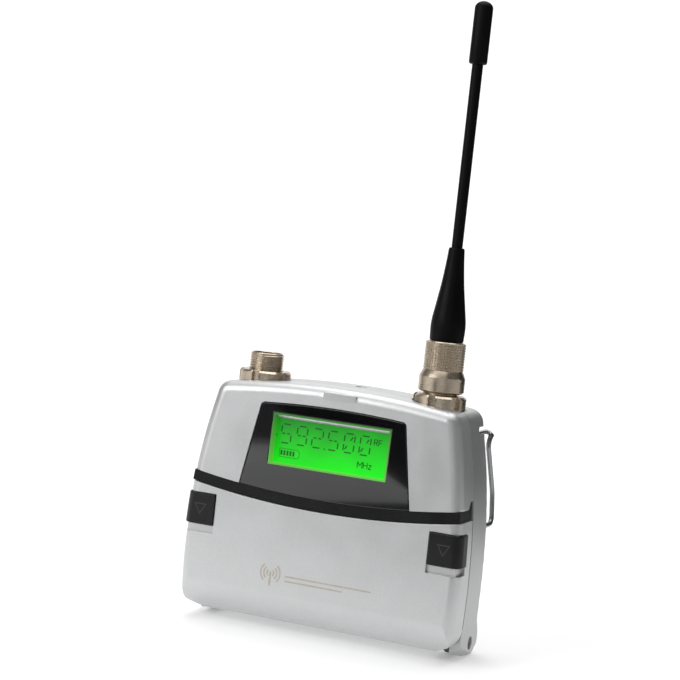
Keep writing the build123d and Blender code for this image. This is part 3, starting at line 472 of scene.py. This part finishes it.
def finish_mesh(bm, name, smooth_angle=SMOOTH_ANGLE, merge=WELD):
    """Mesh from a bmesh: welded, normals outward, sharp where it bends more than the angle."""
    if merge:
        bmesh.ops.remove_doubles(bm, verts=bm.verts, dist=merge)
    bmesh.ops.recalc_face_normals(bm, faces=bm.faces)
    mesh = bpy.data.meshes.new(name)
    for face in bm.faces:
        face.smooth = True
    bm.to_mesh(mesh)
    bm.free()
    mesh.set_sharp_from_angle(angle=radians(smooth_angle))
    return mesh


def bare_copy(node):
    """Welded copy of a CAD node's mesh, without its stored normals."""
    bm = bmesh.new()
    bm.from_mesh(NODES[node].data)
    bmesh.ops.remove_doubles(bm, verts=bm.verts, dist=CAD_WELD)
    bmesh.ops.dissolve_degenerate(bm, edges=bm.edges, dist=WELD / 2)
    return bm


def shell(node, material, body, bevel, angle=SMOOTH_ANGLE, name=None):
    """Detailed copy of a CAD shell: real rounded edges, weighted normals."""
    bm = bare_copy(node)
    bmesh.ops.dissolve_limit(bm, angle_limit=radians(FLAT_ANGLE), verts=bm.verts, edges=bm.edges)
    name = name or node + "_skin"
    mesh = finish_mesh(bm, name, angle, 0)
    for extra in [a.name for a in mesh.attributes if a.name == "custom_normal"]:
        mesh.attributes.remove(mesh.attributes[extra])
    obj = add_object(name, mesh, material, body, (node,))
    if bevel:
        soften = obj.modifiers.new("edge_round", "BEVEL")
        soften.width = bevel
        soften.segments = 2
        soften.limit_method = "ANGLE"
        soften.angle_limit = radians(angle)
        soften.use_clamp_overlap = True
        soften.harden_normals = False
    weigh = obj.modifiers.new("weigh_normals", "WEIGHTED_NORMAL")
    weigh.keep_sharp = True
    weigh.weight = FACE_AREA_WEIGHT
    return obj


def spun(points, centre, steps=64):
    """Bmesh of a profile of (radius, height) points turned round a vertical axis."""
    bm = bmesh.new()
    verts = [bm.verts.new((centre.x + r, centre.y, z)) for r, z in points]
    edges = [bm.edges.new(pair) for pair in zip(verts, verts[1:])]
    bmesh.ops.spin(bm, geom=verts + edges, cent=(centre.x, centre.y, 0), axis=(0, 0, 1),
                   angle=WHOLE_TURN, steps=steps, use_merge=True, use_duplicate=False)
    bmesh.ops.remove_doubles(bm, verts=bm.verts, dist=WELD)
    return bm


def merged(*parts):
    """One bmesh out of several."""
    whole = bmesh.new()
    for part in parts:
        holder = bpy.data.meshes.new("holder")
        part.to_mesh(holder)
        part.free()
        whole.from_mesh(holder)
        bpy.data.meshes.remove(holder)
    return whole


def helix(axis, radius, wire, length, turns, start, steps=18, ring=10):
    """Round wire wound about an axis from start, as one swept tube."""
    bm = bmesh.new()
    along = Vector(axis).normalized()
    side = along.orthogonal().normalized()
    facing = along.cross(side)
    circle = bmesh.ops.create_circle(bm, cap_ends=False, radius=wire / 2, segments=ring)
    turn = Matrix((side, along, facing)).transposed().to_4x4()
    turn.translation = Vector(start) + side * radius
    bmesh.ops.transform(bm, matrix=turn, verts=circle["verts"])
    rim = list(circle["verts"]) + list({e for v in circle["verts"] for e in v.link_edges})
    total = int(steps * turns)
    bmesh.ops.spin(bm, geom=rim, cent=Vector(start), axis=along, angle=WHOLE_TURN * turns,
                   steps=total, dvec=along * (length / total), use_merge=False,
                   use_duplicate=False)
    bmesh.ops.holes_fill(bm, edges=bm.edges, sides=0)
    return bm


def paint_node(node, material):
    """Gives a CAD node that stays in view a finish."""
    mesh = NODES[node].data
    mesh.materials.clear()
    mesh.materials.append(material)


# ---------------------------------------------------------------- shells
shell("rear_housing", SILVER, "housing", 0.00014)
shell("front_cover", SILVER_PAINTED_FRONT_LIGHT, "housing", 0.00014)
shell("battery_door", SILVER_PAINTED_FRONT_LIGHT, "battery_door", 0.00012)
shell("seal_band", BAND_BLACK, "housing", 0.00012)
shell("display_window", WINDOW, "housing", 0.00018)
for side in ("left", "right"):
    shell("latch_" + side, LATCH_BLACK, "latch_" + side, 0.00016)
for node, material in (("display_carrier", PLAIN_BLACK), ("board_header", PLAIN_BLACK),
                       ("hinge_blocks", PLAIN_BLACK), ("battery_tray", PLAIN_BLACK),
                       ("door_liner", PLAIN_BLACK), ("control_plate", PLAIN_BLACK),
                       ("control_switches", PLAIN_BLACK), ("display_board", BOARD),
                       ("main_board", BOARD), ("control_board", BOARD), ("rf_shield", TIN),
                       ("cell_plus_contacts", TIN), ("backlight", GUIDE),
                       ("hinge_pin_left", STEEL), ("hinge_pin_right", STEEL),
                       ("audio_insulator", SOCKET_DARK), ("antenna_insulator", SOCKET_DARK),
                       ("audio_contacts", GOLD), ("antenna_contacts", GOLD),
                       ("power_button", BUTTON_GREY), ("set_button", BUTTON_GREY),
                       ("channel_rocker", BUTTON_GREY), ("lcd_bezel", LCD_EDGE_PAINTED_GLOW),
                       ("lcd_glass", LCD)):
    paint_node(node, material)

# ---------------------------------------------------------------- sockets and nuts
THREAD_PITCH = 0.5 * MM
THREAD_DEPTH = 0.24 * MM
THREAD_CREST = 3.53 * MM
SOCKET_BORE = 2.9 * MM
FLANGE_FOOT = 4.6 * MM        # a socket's flange, above its lowest point
FLANGE_TOP = 6.4 * MM
STEPS_PER_TURN = 60


def threaded_barrel(node, smooth_foot, lead=0.3 * MM):
    """Socket with a helical thread above smooth_foot, a lead-in chamfer and an open bore."""
    low, high = corners(node)
    centre = middle(node)
    flange = high.x - centre.x
    top = high.z
    crest = THREAD_CREST
    bore = SOCKET_BORE
    root = crest - THREAD_DEPTH
    turns = int((top - smooth_foot) / THREAD_PITCH) + 2
    bm = bmesh.new()
    start = smooth_foot - THREAD_PITCH
    profile = [(root, 0.0), (root, 0.12), (crest, 0.42), (crest, 0.58), (root, 0.88), (root, 1.0)]
    verts = [bm.verts.new((centre.x + r, centre.y, start + z * THREAD_PITCH)) for r, z in profile]
    edges = [bm.edges.new(pair) for pair in zip(verts, verts[1:])]
    bmesh.ops.spin(bm, geom=verts + edges, cent=(centre.x, centre.y, 0), axis=(0, 0, 1),
                   angle=WHOLE_TURN * turns, steps=STEPS_PER_TURN * turns,
                   dvec=(0, 0, THREAD_PITCH / STEPS_PER_TURN), use_merge=False,
                   use_duplicate=False)
    bmesh.ops.remove_doubles(bm, verts=bm.verts, dist=1e-6)
    for height, direction in ((smooth_foot, -1), (top - lead, 1)):
        bmesh.ops.bisect_plane(bm, geom=list(bm.verts) + list(bm.edges) + list(bm.faces),
                               plane_co=(0, 0, height), plane_no=(0, 0, direction),
                               clear_outer=True)
    body = spun([(bore, low.z), (crest, low.z), (crest, low.z + FLANGE_FOOT),
                 (flange, low.z + FLANGE_FOOT), (flange, low.z + FLANGE_TOP),
                 (crest, low.z + FLANGE_TOP), (crest, smooth_foot), (root, smooth_foot + 1e-5),
                 (root, top - 0.12 * MM), (root - 0.12 * MM, top), (bore + 0.1 * MM, top),
                 (bore, top - 0.1 * MM), (bore, low.z)], centre, 72)
    return merged(body, bm)


for kind in ("audio", "antenna"):
    nut_top = corners(kind + "_ring_nut")[1].z
    bm = threaded_barrel(kind + "_socket_body", nut_top - 0.2 * MM)
    add_object(kind + "_threaded_socket", finish_mesh(bm, kind + "_threaded_socket", 25.0, 0),
               NICKEL, "housing", (kind + "_socket_body",))
    shell(kind + "_ring_nut", NICKEL, "housing", 0.0001)

# ---------------------------------------------------------------- antenna
coupling_low, coupling_high = corners("antenna_coupling")
antenna_axis = middle("antenna_coupling")
RING_RADIUS = coupling_high.x - antenna_axis.x
RING_TOP = coupling_low.z + 3.3 * MM
GRIP_FOOT = coupling_low.z + 4.4 * MM
GRIP_RADIUS = 4.03 * MM
TOOTH = 0.17 * MM
COUPLING_BORE = 3.58 * MM
CORE_BORE = 2.55 * MM
CORE_BORE_DEPTH = 5.6 * MM
KNURL_COLUMNS = 44
KNURL_ROWS = 10


def knurled_coupling():
    """Smooth ring, cone and a sleeve covered in small truncated pyramids."""
    bore = COUPLING_BORE
    inner = CORE_BORE
    root = GRIP_RADIUS - TOOTH
    knurl_foot = GRIP_FOOT + 0.1 * MM
    knurl_top = coupling_high.z - 0.15 * MM
    rows = [(root, knurl_foot + (knurl_top - knurl_foot) * n / KNURL_ROWS)
            for n in range(KNURL_ROWS + 1)]
    knurl = spun(rows, antenna_axis, KNURL_COLUMNS)
    bmesh.ops.recalc_face_normals(knurl, faces=knurl.faces)
    out = sum(((f.calc_center_median() - antenna_axis).xy).dot(f.normal.xy) for f in knurl.faces)
    if out < 0:
        bmesh.ops.reverse_faces(knurl, faces=knurl.faces)
    bmesh.ops.inset_individual(knurl, faces=knurl.faces, thickness=0.15 * MM, depth=TOOTH)
    body = spun([(bore, coupling_low.z), (RING_RADIUS - 0.35 * MM, coupling_low.z),
                 (RING_RADIUS, coupling_low.z + 0.35 * MM),
                 (RING_RADIUS, RING_TOP - 0.2 * MM), (RING_RADIUS - 0.12 * MM, RING_TOP),
                 (GRIP_RADIUS - 0.02 * MM, GRIP_FOOT - 0.05 * MM), (root, knurl_foot)],
                antenna_axis, 2 * KNURL_COLUMNS)
    cap = spun([(root, knurl_top), (root - 0.15 * MM, coupling_high.z),
                (inner, coupling_high.z), (inner, coupling_high.z - CORE_BORE_DEPTH),
                (bore, coupling_high.z - CORE_BORE_DEPTH), (bore, coupling_low.z)],
               antenna_axis, 2 * KNURL_COLUMNS)
    return merged(knurl, body, cap)


add_object("knurled_coupling", finish_mesh(knurled_coupling(), "knurled_coupling", 22.0, 0),
           NICKEL, "antenna_coupling", ("antenna_coupling",))

boot_low, boot_high = corners("antenna_boot")
whip_low, whip_high = corners("antenna_whip")
cap_low, cap_high = corners("antenna_tip_cap")


def curve_profile(knots, steps=8):
    """Smooth profile through (radius, height) knots."""
    points = []
    last = len(knots) - 1
    for index in range(last):
        before = Vector(knots[max(index - 1, 0)])
        here = Vector(knots[index])
        there = Vector(knots[index + 1])
        after = Vector(knots[min(index + 2, last)])
        for step in range(steps):
            t = step / steps
            point = 0.5 * (2 * here + (there - before) * t
                           + (2 * before - 5 * here + 4 * there - after) * t ** 2
                           + (3 * here - before - 3 * there + after) * t ** 3)
            points.append(tuple(point))
    return points + [tuple(knots[-1])]


WHIP_RADIUS = 1.1 * MM
boot_foot = coupling_high.z + 0.1 * MM
boot_curve = curve_profile([
    (3.375 * MM, boot_foot + 0.15 * MM), (3.47 * MM, 66.1 * MM), (2.98 * MM, 69.6 * MM),
    (2.3 * MM, 74.0 * MM), (1.8 * MM, 78.4 * MM), (1.6 * MM, boot_high.z - 0.35 * MM)])
boot = spun([(0, boot_low.z), (2.5 * MM, boot_low.z), (2.5 * MM, boot_foot),
             (3.25 * MM, boot_foot)] + boot_curve
            + [(1.5 * MM, boot_high.z - 0.08 * MM), (1.35 * MM, boot_high.z),
               (0, boot_high.z)], antenna_axis, 56)
add_object("moulded_boot", finish_mesh(boot, "moulded_boot", 40.0), RUBBER, "housing",
           ("antenna_boot",))
whip = spun([(0, whip_low.z), (WHIP_RADIUS, whip_low.z), (WHIP_RADIUS, whip_high.z),
             (0, whip_high.z)], antenna_axis, 40)
add_object("whip_rod", finish_mesh(whip, "whip_rod", 40.0), RUBBER, "housing",
           ("antenna_whip",))
cap_radius = cap_high.x - antenna_axis.x
DOME_HEIGHT = 1.45 * MM
dome = [(cap_radius * cos(radians(a)), cap_high.z - DOME_HEIGHT + DOME_HEIGHT * sin(radians(a)))
        for a in range(0, 91, 10)]
foot_round = [(1.3 * MM, cap_low.z), (cap_radius - 0.25 * MM, cap_low.z + 0.03 * MM),
              (cap_radius - 0.07 * MM, cap_low.z + 0.18 * MM), (cap_radius, cap_low.z + 0.5 * MM)]
tip = spun([(0, cap_low.z)] + foot_round + dome[:-1] + [(0, cap_high.z)], antenna_axis, 48)
add_object("tip_cap", finish_mesh(tip, "tip_cap", 40.0), RUBBER, "housing",
           ("antenna_tip_cap",))

# ---------------------------------------------------------------- belt clip, screws and springs
shell("belt_clip", WIRE, "belt_clip", 0, 50.0, "clip_wire")


def screw_head(centre, outward, radius):
    """Flat head with a round recess, facing outward; its profile is in radii."""
    bm = bmesh.new()
    side = Vector(outward).orthogonal().normalized()
    profile = [(0.0, -0.45), (0.3, -0.45), (0.42, -0.02), (0.9, 0.0), (1.0, -0.12), (0.98, -0.6),
               (0.0, -0.6)]
    verts = [bm.verts.new(Vector(centre) + side * r * radius + Vector(outward) * h * radius)
             for r, h in profile]
    edges = [bm.edges.new(pair) for pair in zip(verts, verts[1:])]
    bmesh.ops.spin(bm, geom=verts + edges, cent=centre, axis=outward, angle=WHOLE_TURN,
                   steps=40, use_merge=True, use_duplicate=False)
    bmesh.ops.remove_doubles(bm, verts=bm.verts, dist=WELD)
    return bm


HEAD_RADIUS = 1.2 * MM
rear_low, rear_high = corners("rear_screws")
top_centre = middle("top_screw")
top_of_head = corners("top_screw")[1].z
heads = []
for x in (rear_low.x, rear_high.x):
    inward = HEAD_RADIUS if x < 0 else -HEAD_RADIUS
    centre = (x + inward, rear_high.y, (rear_low.z + rear_high.z) / 2)
    heads.append(screw_head(centre, (0, 1, 0), HEAD_RADIUS))
add_object("rear_screw_heads", finish_mesh(merged(*heads), "rear_screw_heads", 30.0, 0), STEEL,
           "housing", ("rear_screws",))
bm = screw_head((top_centre.x, top_centre.y, top_of_head), (0, 0, 1), HEAD_RADIUS)
add_object("top_screw_head", finish_mesh(bm, "top_screw_head", 30.0, 0), STEEL, "housing",
           ("top_screw",))

LATCH_WIRE = 0.24 * MM
for side in ("left", "right"):
    node = "latch_spring_" + side
    low, high = corners(node)
    centre = middle(node)
    wire = LATCH_WIRE
    bm = helix((0, 0, 1), (high.x - low.x) / 2 - wire / 2, wire,
               high.z - low.z - wire, 5, (centre.x, centre.y, low.z + wire / 2))
    coil = add_object("latch_coil_" + side, finish_mesh(bm, "latch_coil_" + side, 60.0, 0), STEEL,
                      "battery_door", (node,))
    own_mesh(coil)

CELL_WIRE = 0.35 * MM
CELL_COIL_RADIUS = 2.0 * MM
CELL_COIL_LENGTH = 1.3 * MM
coils = []
spring_low, spring_high = corners("cell_springs")
wire = CELL_WIRE
for low_x, cell, way in ((spring_low.x, "upper_cell", 1), (spring_high.x, "lower_cell", -1)):
    centre = middle(cell)
    start = (low_x + way * wire / 2, centre.y, centre.z)
    coils.append(helix((way, 0, 0), CELL_COIL_RADIUS, wire, CELL_COIL_LENGTH - wire, 2.5, start))
add_object("cell_coils", finish_mesh(merged(*coils), "cell_coils", 60.0, 0), TIN, "housing",
           ("cell_springs",))

# ---------------------------------------------------------------- cells
for node, plus in (("lower_cell", -1), ("upper_cell", 1)):
    low, high = corners(node)
    centre = middle(node)
    length = high.x - low.x
    radius = (high.z - low.z) / 2
    end = length / 2
    profile = [(0, -end), (4.4 * MM, -end), (4.7 * MM, -end + 0.15 * MM),
               (radius - 0.2 * MM, -end + 0.2 * MM), (radius, -end + 0.5 * MM),
               (radius, end - 1.6 * MM), (radius - 0.25 * MM, end - 1.2 * MM),
               (4.5 * MM, end - 1.15 * MM), (4.4 * MM, end - 1.35 * MM),
               (2.1 * MM, end - 1.35 * MM), (1.9 * MM, end - 1.0 * MM),
               (1.9 * MM, end - 0.15 * MM), (1.7 * MM, end), (0, end)]
    bm = bmesh.new()
    verts = [bm.verts.new((centre.x + plus * h, centre.y, centre.z + r)) for r, h in profile]
    edges = [bm.edges.new(pair) for pair in zip(verts, verts[1:])]
    bmesh.ops.spin(bm, geom=verts + edges, cent=centre, axis=(1, 0, 0), angle=WHOLE_TURN,
                   steps=56, use_merge=True, use_duplicate=False)
    add_object(node + "_can", finish_mesh(bm, node + "_can", 35.0), SLEEVE, "housing",
               (node,))

# ---------------------------------------------------------------- display marks
INK_Y = corners("lcd_glass")[0].y - 0.02 * MM
INK_DEPTH = 0.03 * MM
STROKE = 0.27 * MM


def stroke(start, end, width=STROKE):
    """Flat bar between two (x, z) points in millimetres, a little proud of the glass."""
    a = Vector((start[0] * MM, INK_Y, start[1] * MM))
    b = Vector((end[0] * MM, INK_Y, end[1] * MM))
    along = (b - a)
    bm = bmesh.new()
    made = bmesh.ops.create_cube(bm, size=1.0)
    turn = Matrix((along.normalized(), Vector((0, 1, 0)),
                   along.normalized().cross(Vector((0, 1, 0))))).transposed().to_4x4()
    bmesh.ops.scale(bm, vec=(along.length, INK_DEPTH, width), verts=made["verts"])
    turn.translation = (a + b) / 2
    bmesh.ops.transform(bm, matrix=turn, verts=made["verts"])
    return bm


FIRST_DIGIT = -11.25
DIGIT_STEP = 3.42
DIGIT_WIDTH = 2.2
DIGIT_TOP = 42.3
DIGIT_MID = 40.4
DIGIT_FOOT = 38.5
SEGMENTS = {
    "top": ((0.45, DIGIT_TOP), (1.95, DIGIT_TOP)),
    "foot": ((0.25, DIGIT_FOOT), (1.75, DIGIT_FOOT)),
    "mid_left": ((0.25, DIGIT_MID), (0.9, DIGIT_MID)),
    "mid_right": ((1.3, DIGIT_MID), (1.95, DIGIT_MID)),
    "upper_left": ((0.12, 41.95), (0.05, 40.7)),
    "upper_right": ((DIGIT_WIDTH + 0.12, 41.95), (DIGIT_WIDTH + 0.05, 40.7)),
    "lower_left": ((0.02, 40.1), (-0.05, 38.85)),
    "lower_right": ((DIGIT_WIDTH + 0.02, 40.1), (DIGIT_WIDTH - 0.05, 38.85)),
    "slash_high": ((1.85, 41.7), (1.4, 40.95)),
    "slash_low": ((0.75, 39.85), (0.3, 39.1)),
}
MID = ["mid_left", "mid_right"]
SHAPES = {
    "5": ["top", "upper_left", "lower_right", "foot"] + MID,
    "9": ["top", "upper_left", "upper_right", "lower_right", "foot"] + MID,
    "2": ["top", "upper_right", "lower_left", "foot"] + MID,
    "0": ["top", "upper_left", "upper_right", "lower_left", "lower_right", "foot",
          "slash_high", "slash_low"],
}
FIRST_BAR, BAR_STEP, BAR_WIDTH = -10.75, 0.66, 0.42 * MM
BAR_FOOT, BAR_TOP = 36.0, 37.0
strokes = []
for index, digit in enumerate("592500"):
    left = FIRST_DIGIT + DIGIT_STEP * index
    for part in SHAPES[digit]:
        (x1, z1), (x2, z2) = SEGMENTS[part]
        strokes.append(stroke((left + x1, z1), (left + x2, z2)))
strokes.append(stroke((-1.72, 38.45), (-1.42, 38.45), 0.3 * MM))
for bar in range(5):
    x = FIRST_BAR + BAR_STEP * bar
    strokes.append(stroke((x, BAR_FOOT), (x, BAR_TOP), BAR_WIDTH))
outline = [(-11.2, 35.65), (-11.2, 37.35), (-7.3, 37.35), (-6.85, 37.0), (-6.85, 36.0),
           (-7.3, 35.65), (-11.2, 35.65)]
for start, end in zip(outline, outline[1:]):
    strokes.append(stroke(start, end, 0.1 * MM))
for start, end in (((-12.1, 40.1), (-12.3, 39.9)), ((-12.3, 39.9), (-12.1, 39.7))):
    strokes.append(stroke(start, end, 0.12 * MM))
letters = {
    "R": [((0, 0), (0, 1)), ((0, 1), (0.55, 1)), ((0.55, 1), (0.62, 0.78)),
          ((0.62, 0.78), (0.55, 0.52)), ((0.55, 0.52), (0, 0.52)), ((0.3, 0.52), (0.65, 0))],
    "F": [((0, 0), (0, 1)), ((0, 1), (0.6, 1)), ((0, 0.52), (0.5, 0.52))],
    "M": [((0, 0), (0, 1)), ((0, 1), (0.4, 0.35)), ((0.4, 0.35), (0.8, 1)), ((0.8, 1), (0.8, 0))],
    "H": [((0, 0), (0, 1)), ((0.65, 0), (0.65, 1)), ((0, 0.5), (0.65, 0.5))],
    "z": [((0, 0.66), (0.5, 0.66)), ((0.5, 0.66), (0, 0)), ((0, 0), (0.5, 0))],
}
for text, left, foot, height in (("RF", 8.85, 40.75, 1.15), ("MHz", 5.8, 35.85, 1.25)):
    pen = left
    for letter in text:
        wide = max(max(a[0], b[0]) for a, b in letters[letter])
        for a, b in letters[letter]:
            strokes.append(stroke((pen + a[0] * height, foot + a[1] * height),
                                  (pen + b[0] * height, foot + b[1] * height), 0.18 * MM))
        pen += (wide + 0.22) * height
add_object("display_marks", finish_mesh(merged(*strokes), "display_marks", 30.0, 0), INK,
           "housing")

# ---------------------------------------------------------------- printed mark
def lay_on_front(bm, node):
    """Moves each point of a flat mark onto the front face of a node."""
    faces = BVHTree.FromBMesh(bare_copy(node))
    for vert in bm.verts:
        place = faces.ray_cast(Vector((vert.co.x, IN_FRONT, vert.co.z)), Vector((0, 1, 0)))[0]
        vert.co.y = (place.y if place else corners(node)[0].y) - LIFT


def arc_ribbon(centre, inner, outer, start, end, steps=18):
    """Ribbon between two radii in the XZ plane."""
    bm = bmesh.new()
    rows = []
    for step in range(steps + 1):
        angle = radians(start + (end - start) * step / steps)
        rows.append([bm.verts.new((centre[0] + r * cos(angle), 0, centre[1] + r * sin(angle)))
                     for r in (inner, outer)])
    for before, after in zip(rows, rows[1:]):
        bm.faces.new((before[0], before[1], after[1], after[0]))
    return bm


def bar_ribbon(left, foot, right, top, cuts):
    """Flat bar in the XZ plane between two corners in millimetres."""
    bm = bmesh.new()
    bmesh.ops.create_grid(bm, x_segments=cuts, y_segments=1, size=0.5)
    for vert in bm.verts:
        x, z = vert.co.x + 0.5, vert.co.y + 0.5
        vert.co = Vector((left + x * (right - left), 0, foot + z * (top - foot))) * MM
    return bm


ARC_RADII = (0.55, 1.25, 1.95)
ARC_WIDTH = 0.34
ARC_SPANS = ((-48, 48), (132, 228))
AERIAL_AT = (-9.4 * MM, 12.3 * MM)
AERIAL_STEM = (-9.62, 9.7, -9.18, 12.6, 4)
STRIPES = ((-6.2, 11.95, 12.4, 12.25, 60), (-6.2, 11.0, 6.4, 11.3, 40))
mark = [arc_ribbon(AERIAL_AT, radius * MM, (radius + ARC_WIDTH) * MM, start, end)
        for radius in ARC_RADII for start, end in ARC_SPANS]
mark += [bar_ribbon(*bar) for bar in (AERIAL_STEM, *STRIPES)]
bm = merged(*mark)
lay_on_front(bm, "battery_door")
add_object("printed_mark", finish_mesh(bm, "printed_mark", 30.0), PRINT, "battery_door")

# ---------------------------------------------------------------- latch marks
LINE_GREY = moulded_black("latch_line_grey", 0.055, 0.5)
ARROW = ((-1.4, 0.95), (1.4, 0.95), (0, -1.35))
ARROW_INSET = 3.1 * MM        # middle of the arrow from the latch's inner edge
ARROW_RISE = 0.2 * MM
ARROW_HOLLOW = 0.74           # inner outline, as a share of the outer
for side in ("left", "right"):
    latch_low, latch_high = corners("latch_" + side)
    arrow_x = latch_high.x - ARROW_INSET if side == "left" else latch_low.x + ARROW_INSET
    centre = Vector((arrow_x, 0, (latch_low.z + latch_high.z) / 2 + ARROW_RISE))
    arrow = [Vector((x * MM, 0, z * MM)) for x, z in ARROW]
    bm = bmesh.new()
    rings = [[bm.verts.new(centre + corner * share) for corner in arrow]
             for share in (1.0, ARROW_HOLLOW)]
    for k in range(3):
        after = (k + 1) % 3
        bm.faces.new((rings[0][k], rings[0][after], rings[1][after], rings[1][k]))
    bmesh.ops.subdivide_edges(bm, edges=bm.edges, cuts=6, use_grid_fill=True)
    lay_on_front(bm, "latch_" + side)
    add_object("latch_arrow_" + side, finish_mesh(bm, "latch_arrow_" + side, 30.0), LINE_GREY,
               "latch_" + side)

# ---------------------------------------------------------------- camera
CAMERA_DISTANCE = 0.37766
FOCAL_LENGTH = 98.62
SENSOR_WIDTH = 36.0
AIM_BEHIND_SEAM = 0.65 * MM
turn, lift, roll = radians(21.54), radians(3.51), radians(6.26)
aim = Vector((-3.27 * MM, corners("rear_housing")[0].y + AIM_BEHIND_SEAM, 60.16 * MM))
away = Vector((sin(turn) * cos(lift), -cos(turn) * cos(lift), sin(lift)))
level = (-away).cross(Vector((0, 0, 1))).normalized()
upright = level.cross(-away)
across = cos(roll) * level + sin(roll) * upright
over = -sin(roll) * level + cos(roll) * upright
place = Matrix((across, over, away)).transposed().to_4x4()
place.translation = aim + away * CAMERA_DISTANCE
lens = bpy.data.cameras.new("studio_camera")
lens.sensor_width = SENSOR_WIDTH
lens.lens = FOCAL_LENGTH
lens.clip_start = 0.01
camera = bpy.data.objects.new("studio_camera", lens)
camera.matrix_world = place
scene.collection.objects.link(camera)
scene.camera = camera

# ---------------------------------------------------------------- stage and light
scene.view_settings.view_transform = "Standard"
scene.view_settings.look = "None"

behind = -Vector((away.x, away.y, 0)).normalized()
beside = Vector((-behind.y, behind.x, 0))


def stage_material(name, level, glow):
    """Matt grey of the studio, which may glow white."""
    finish = Finish(name, (level,) * 3, 0.9).grain(400.0, 0.00002, tint=0.01, blotch=0.01)
    finish.shader.inputs["Emission Color"].default_value = (1, 1, 1, 1)
    finish.shader.inputs["Emission Strength"].default_value = glow
    return finish.close(0.0)


def stage_mesh(name, bm, material):
    """Studio piece that isn't part of the object."""
    mesh = bpy.data.meshes.new(name)
    for face in bm.faces:
        face.smooth = True
    bm.to_mesh(mesh)
    bm.free()
    mesh.materials.append(material)
    obj = bpy.data.objects.new(name, mesh)
    scene.collection.objects.link(obj)
    return obj


FLOOR_FRONT = -1.3
BEND_START = 0.55
BEND_RADIUS = 0.5
WALL_TOP = 1.2
HALF_WIDTH = 0.9
bm = bmesh.new()
bend = [(BEND_START + BEND_RADIUS * sin(radians(a)), BEND_RADIUS - BEND_RADIUS * cos(radians(a)))
        for a in range(0, 91, 6)]
sweep = [(FLOOR_FRONT, 0.0)] + bend + [(BEND_START + BEND_RADIUS, WALL_TOP)]
ends = []
for offset in (-HALF_WIDTH, HALF_WIDTH):
    ends.append([bm.verts.new(behind * d + beside * offset + Vector((0, 0, z))) for d, z in sweep])
for low_row, high_row in zip(zip(ends[0], ends[0][1:]), zip(ends[1], ends[1][1:])):
    bm.faces.new((low_row[0], low_row[1], high_row[1], high_row[0]))
stage_mesh("studio_sweep", bm, stage_material("studio_white", 0.86, 0.3))

# Dark cards outside the picture, for the window and the paint to mirror.
WINDOW_CARD = [(x, -0.3, z) for x, z in ((-0.18, 0.0762), (-0.0596, 0.0), (-0.03, 0.0),
                                         (-0.03, 0.13), (-0.18, 0.13))]
SIDE_CARD = [(0.05, 0.205, 0.0), (0.22, 0.14, 0.0), (0.22, 0.14, 0.22), (0.05, 0.205, 0.22)]
FLOOR_CARD = [behind * -d + beside * w + Vector((0, 0, MM))
              for d, w in ((0.085, -0.2), (0.085, 0.2), (0.32, 0.2), (0.32, -0.2))]
dark = stage_material("card_black", 0.012, 0.0)
for name, outline in (("reflection_card", WINDOW_CARD), ("side_card", SIDE_CARD),
                      ("floor_card", FLOOR_CARD)):
    bm = bmesh.new()
    bm.faces.new([bm.verts.new(point) for point in outline])
    card = stage_mesh(name, bm, dark)
    card.visible_shadow = False
    card.visible_camera = False

world = bpy.data.worlds.new("studio_air")
world.use_nodes = True
sky = world.node_tree.nodes["Background"]
sky.inputs["Color"].default_value = (1, 1, 1, 1)
sky.inputs["Strength"].default_value = 0.14
scene.world = world


def soft_light(name, place_at, look_at, size, power):
    data = bpy.data.lights.new(name, "AREA")
    data.shape = "SQUARE"
    data.size = size
    data.energy = power
    obj = bpy.data.objects.new(name, data)
    obj.location = place_at
    obj.rotation_euler = (Vector(look_at) - Vector(place_at)).to_track_quat("-Z", "Y").to_euler()
    scene.collection.objects.link(obj)


for name, place_at, look_at, size, power in (
        ("key_left", (-0.45, -0.6, 0.42), (0, 0, 0.04), 0.55, 3.6),
        ("top_fill", (0.0, -0.1, 0.75), (0, 0, 0.03), 0.6, 1.5),
        ("front_fill", (0.25, -0.75, 0.2), (0, 0, 0.04), 0.4, 0.2),
        ("backdrop_wash", behind * 0.35 + Vector((0, 0, 0.9)), behind * 0.75, 0.8, 5.0)):
    soft_light(name, place_at, look_at, size, power)
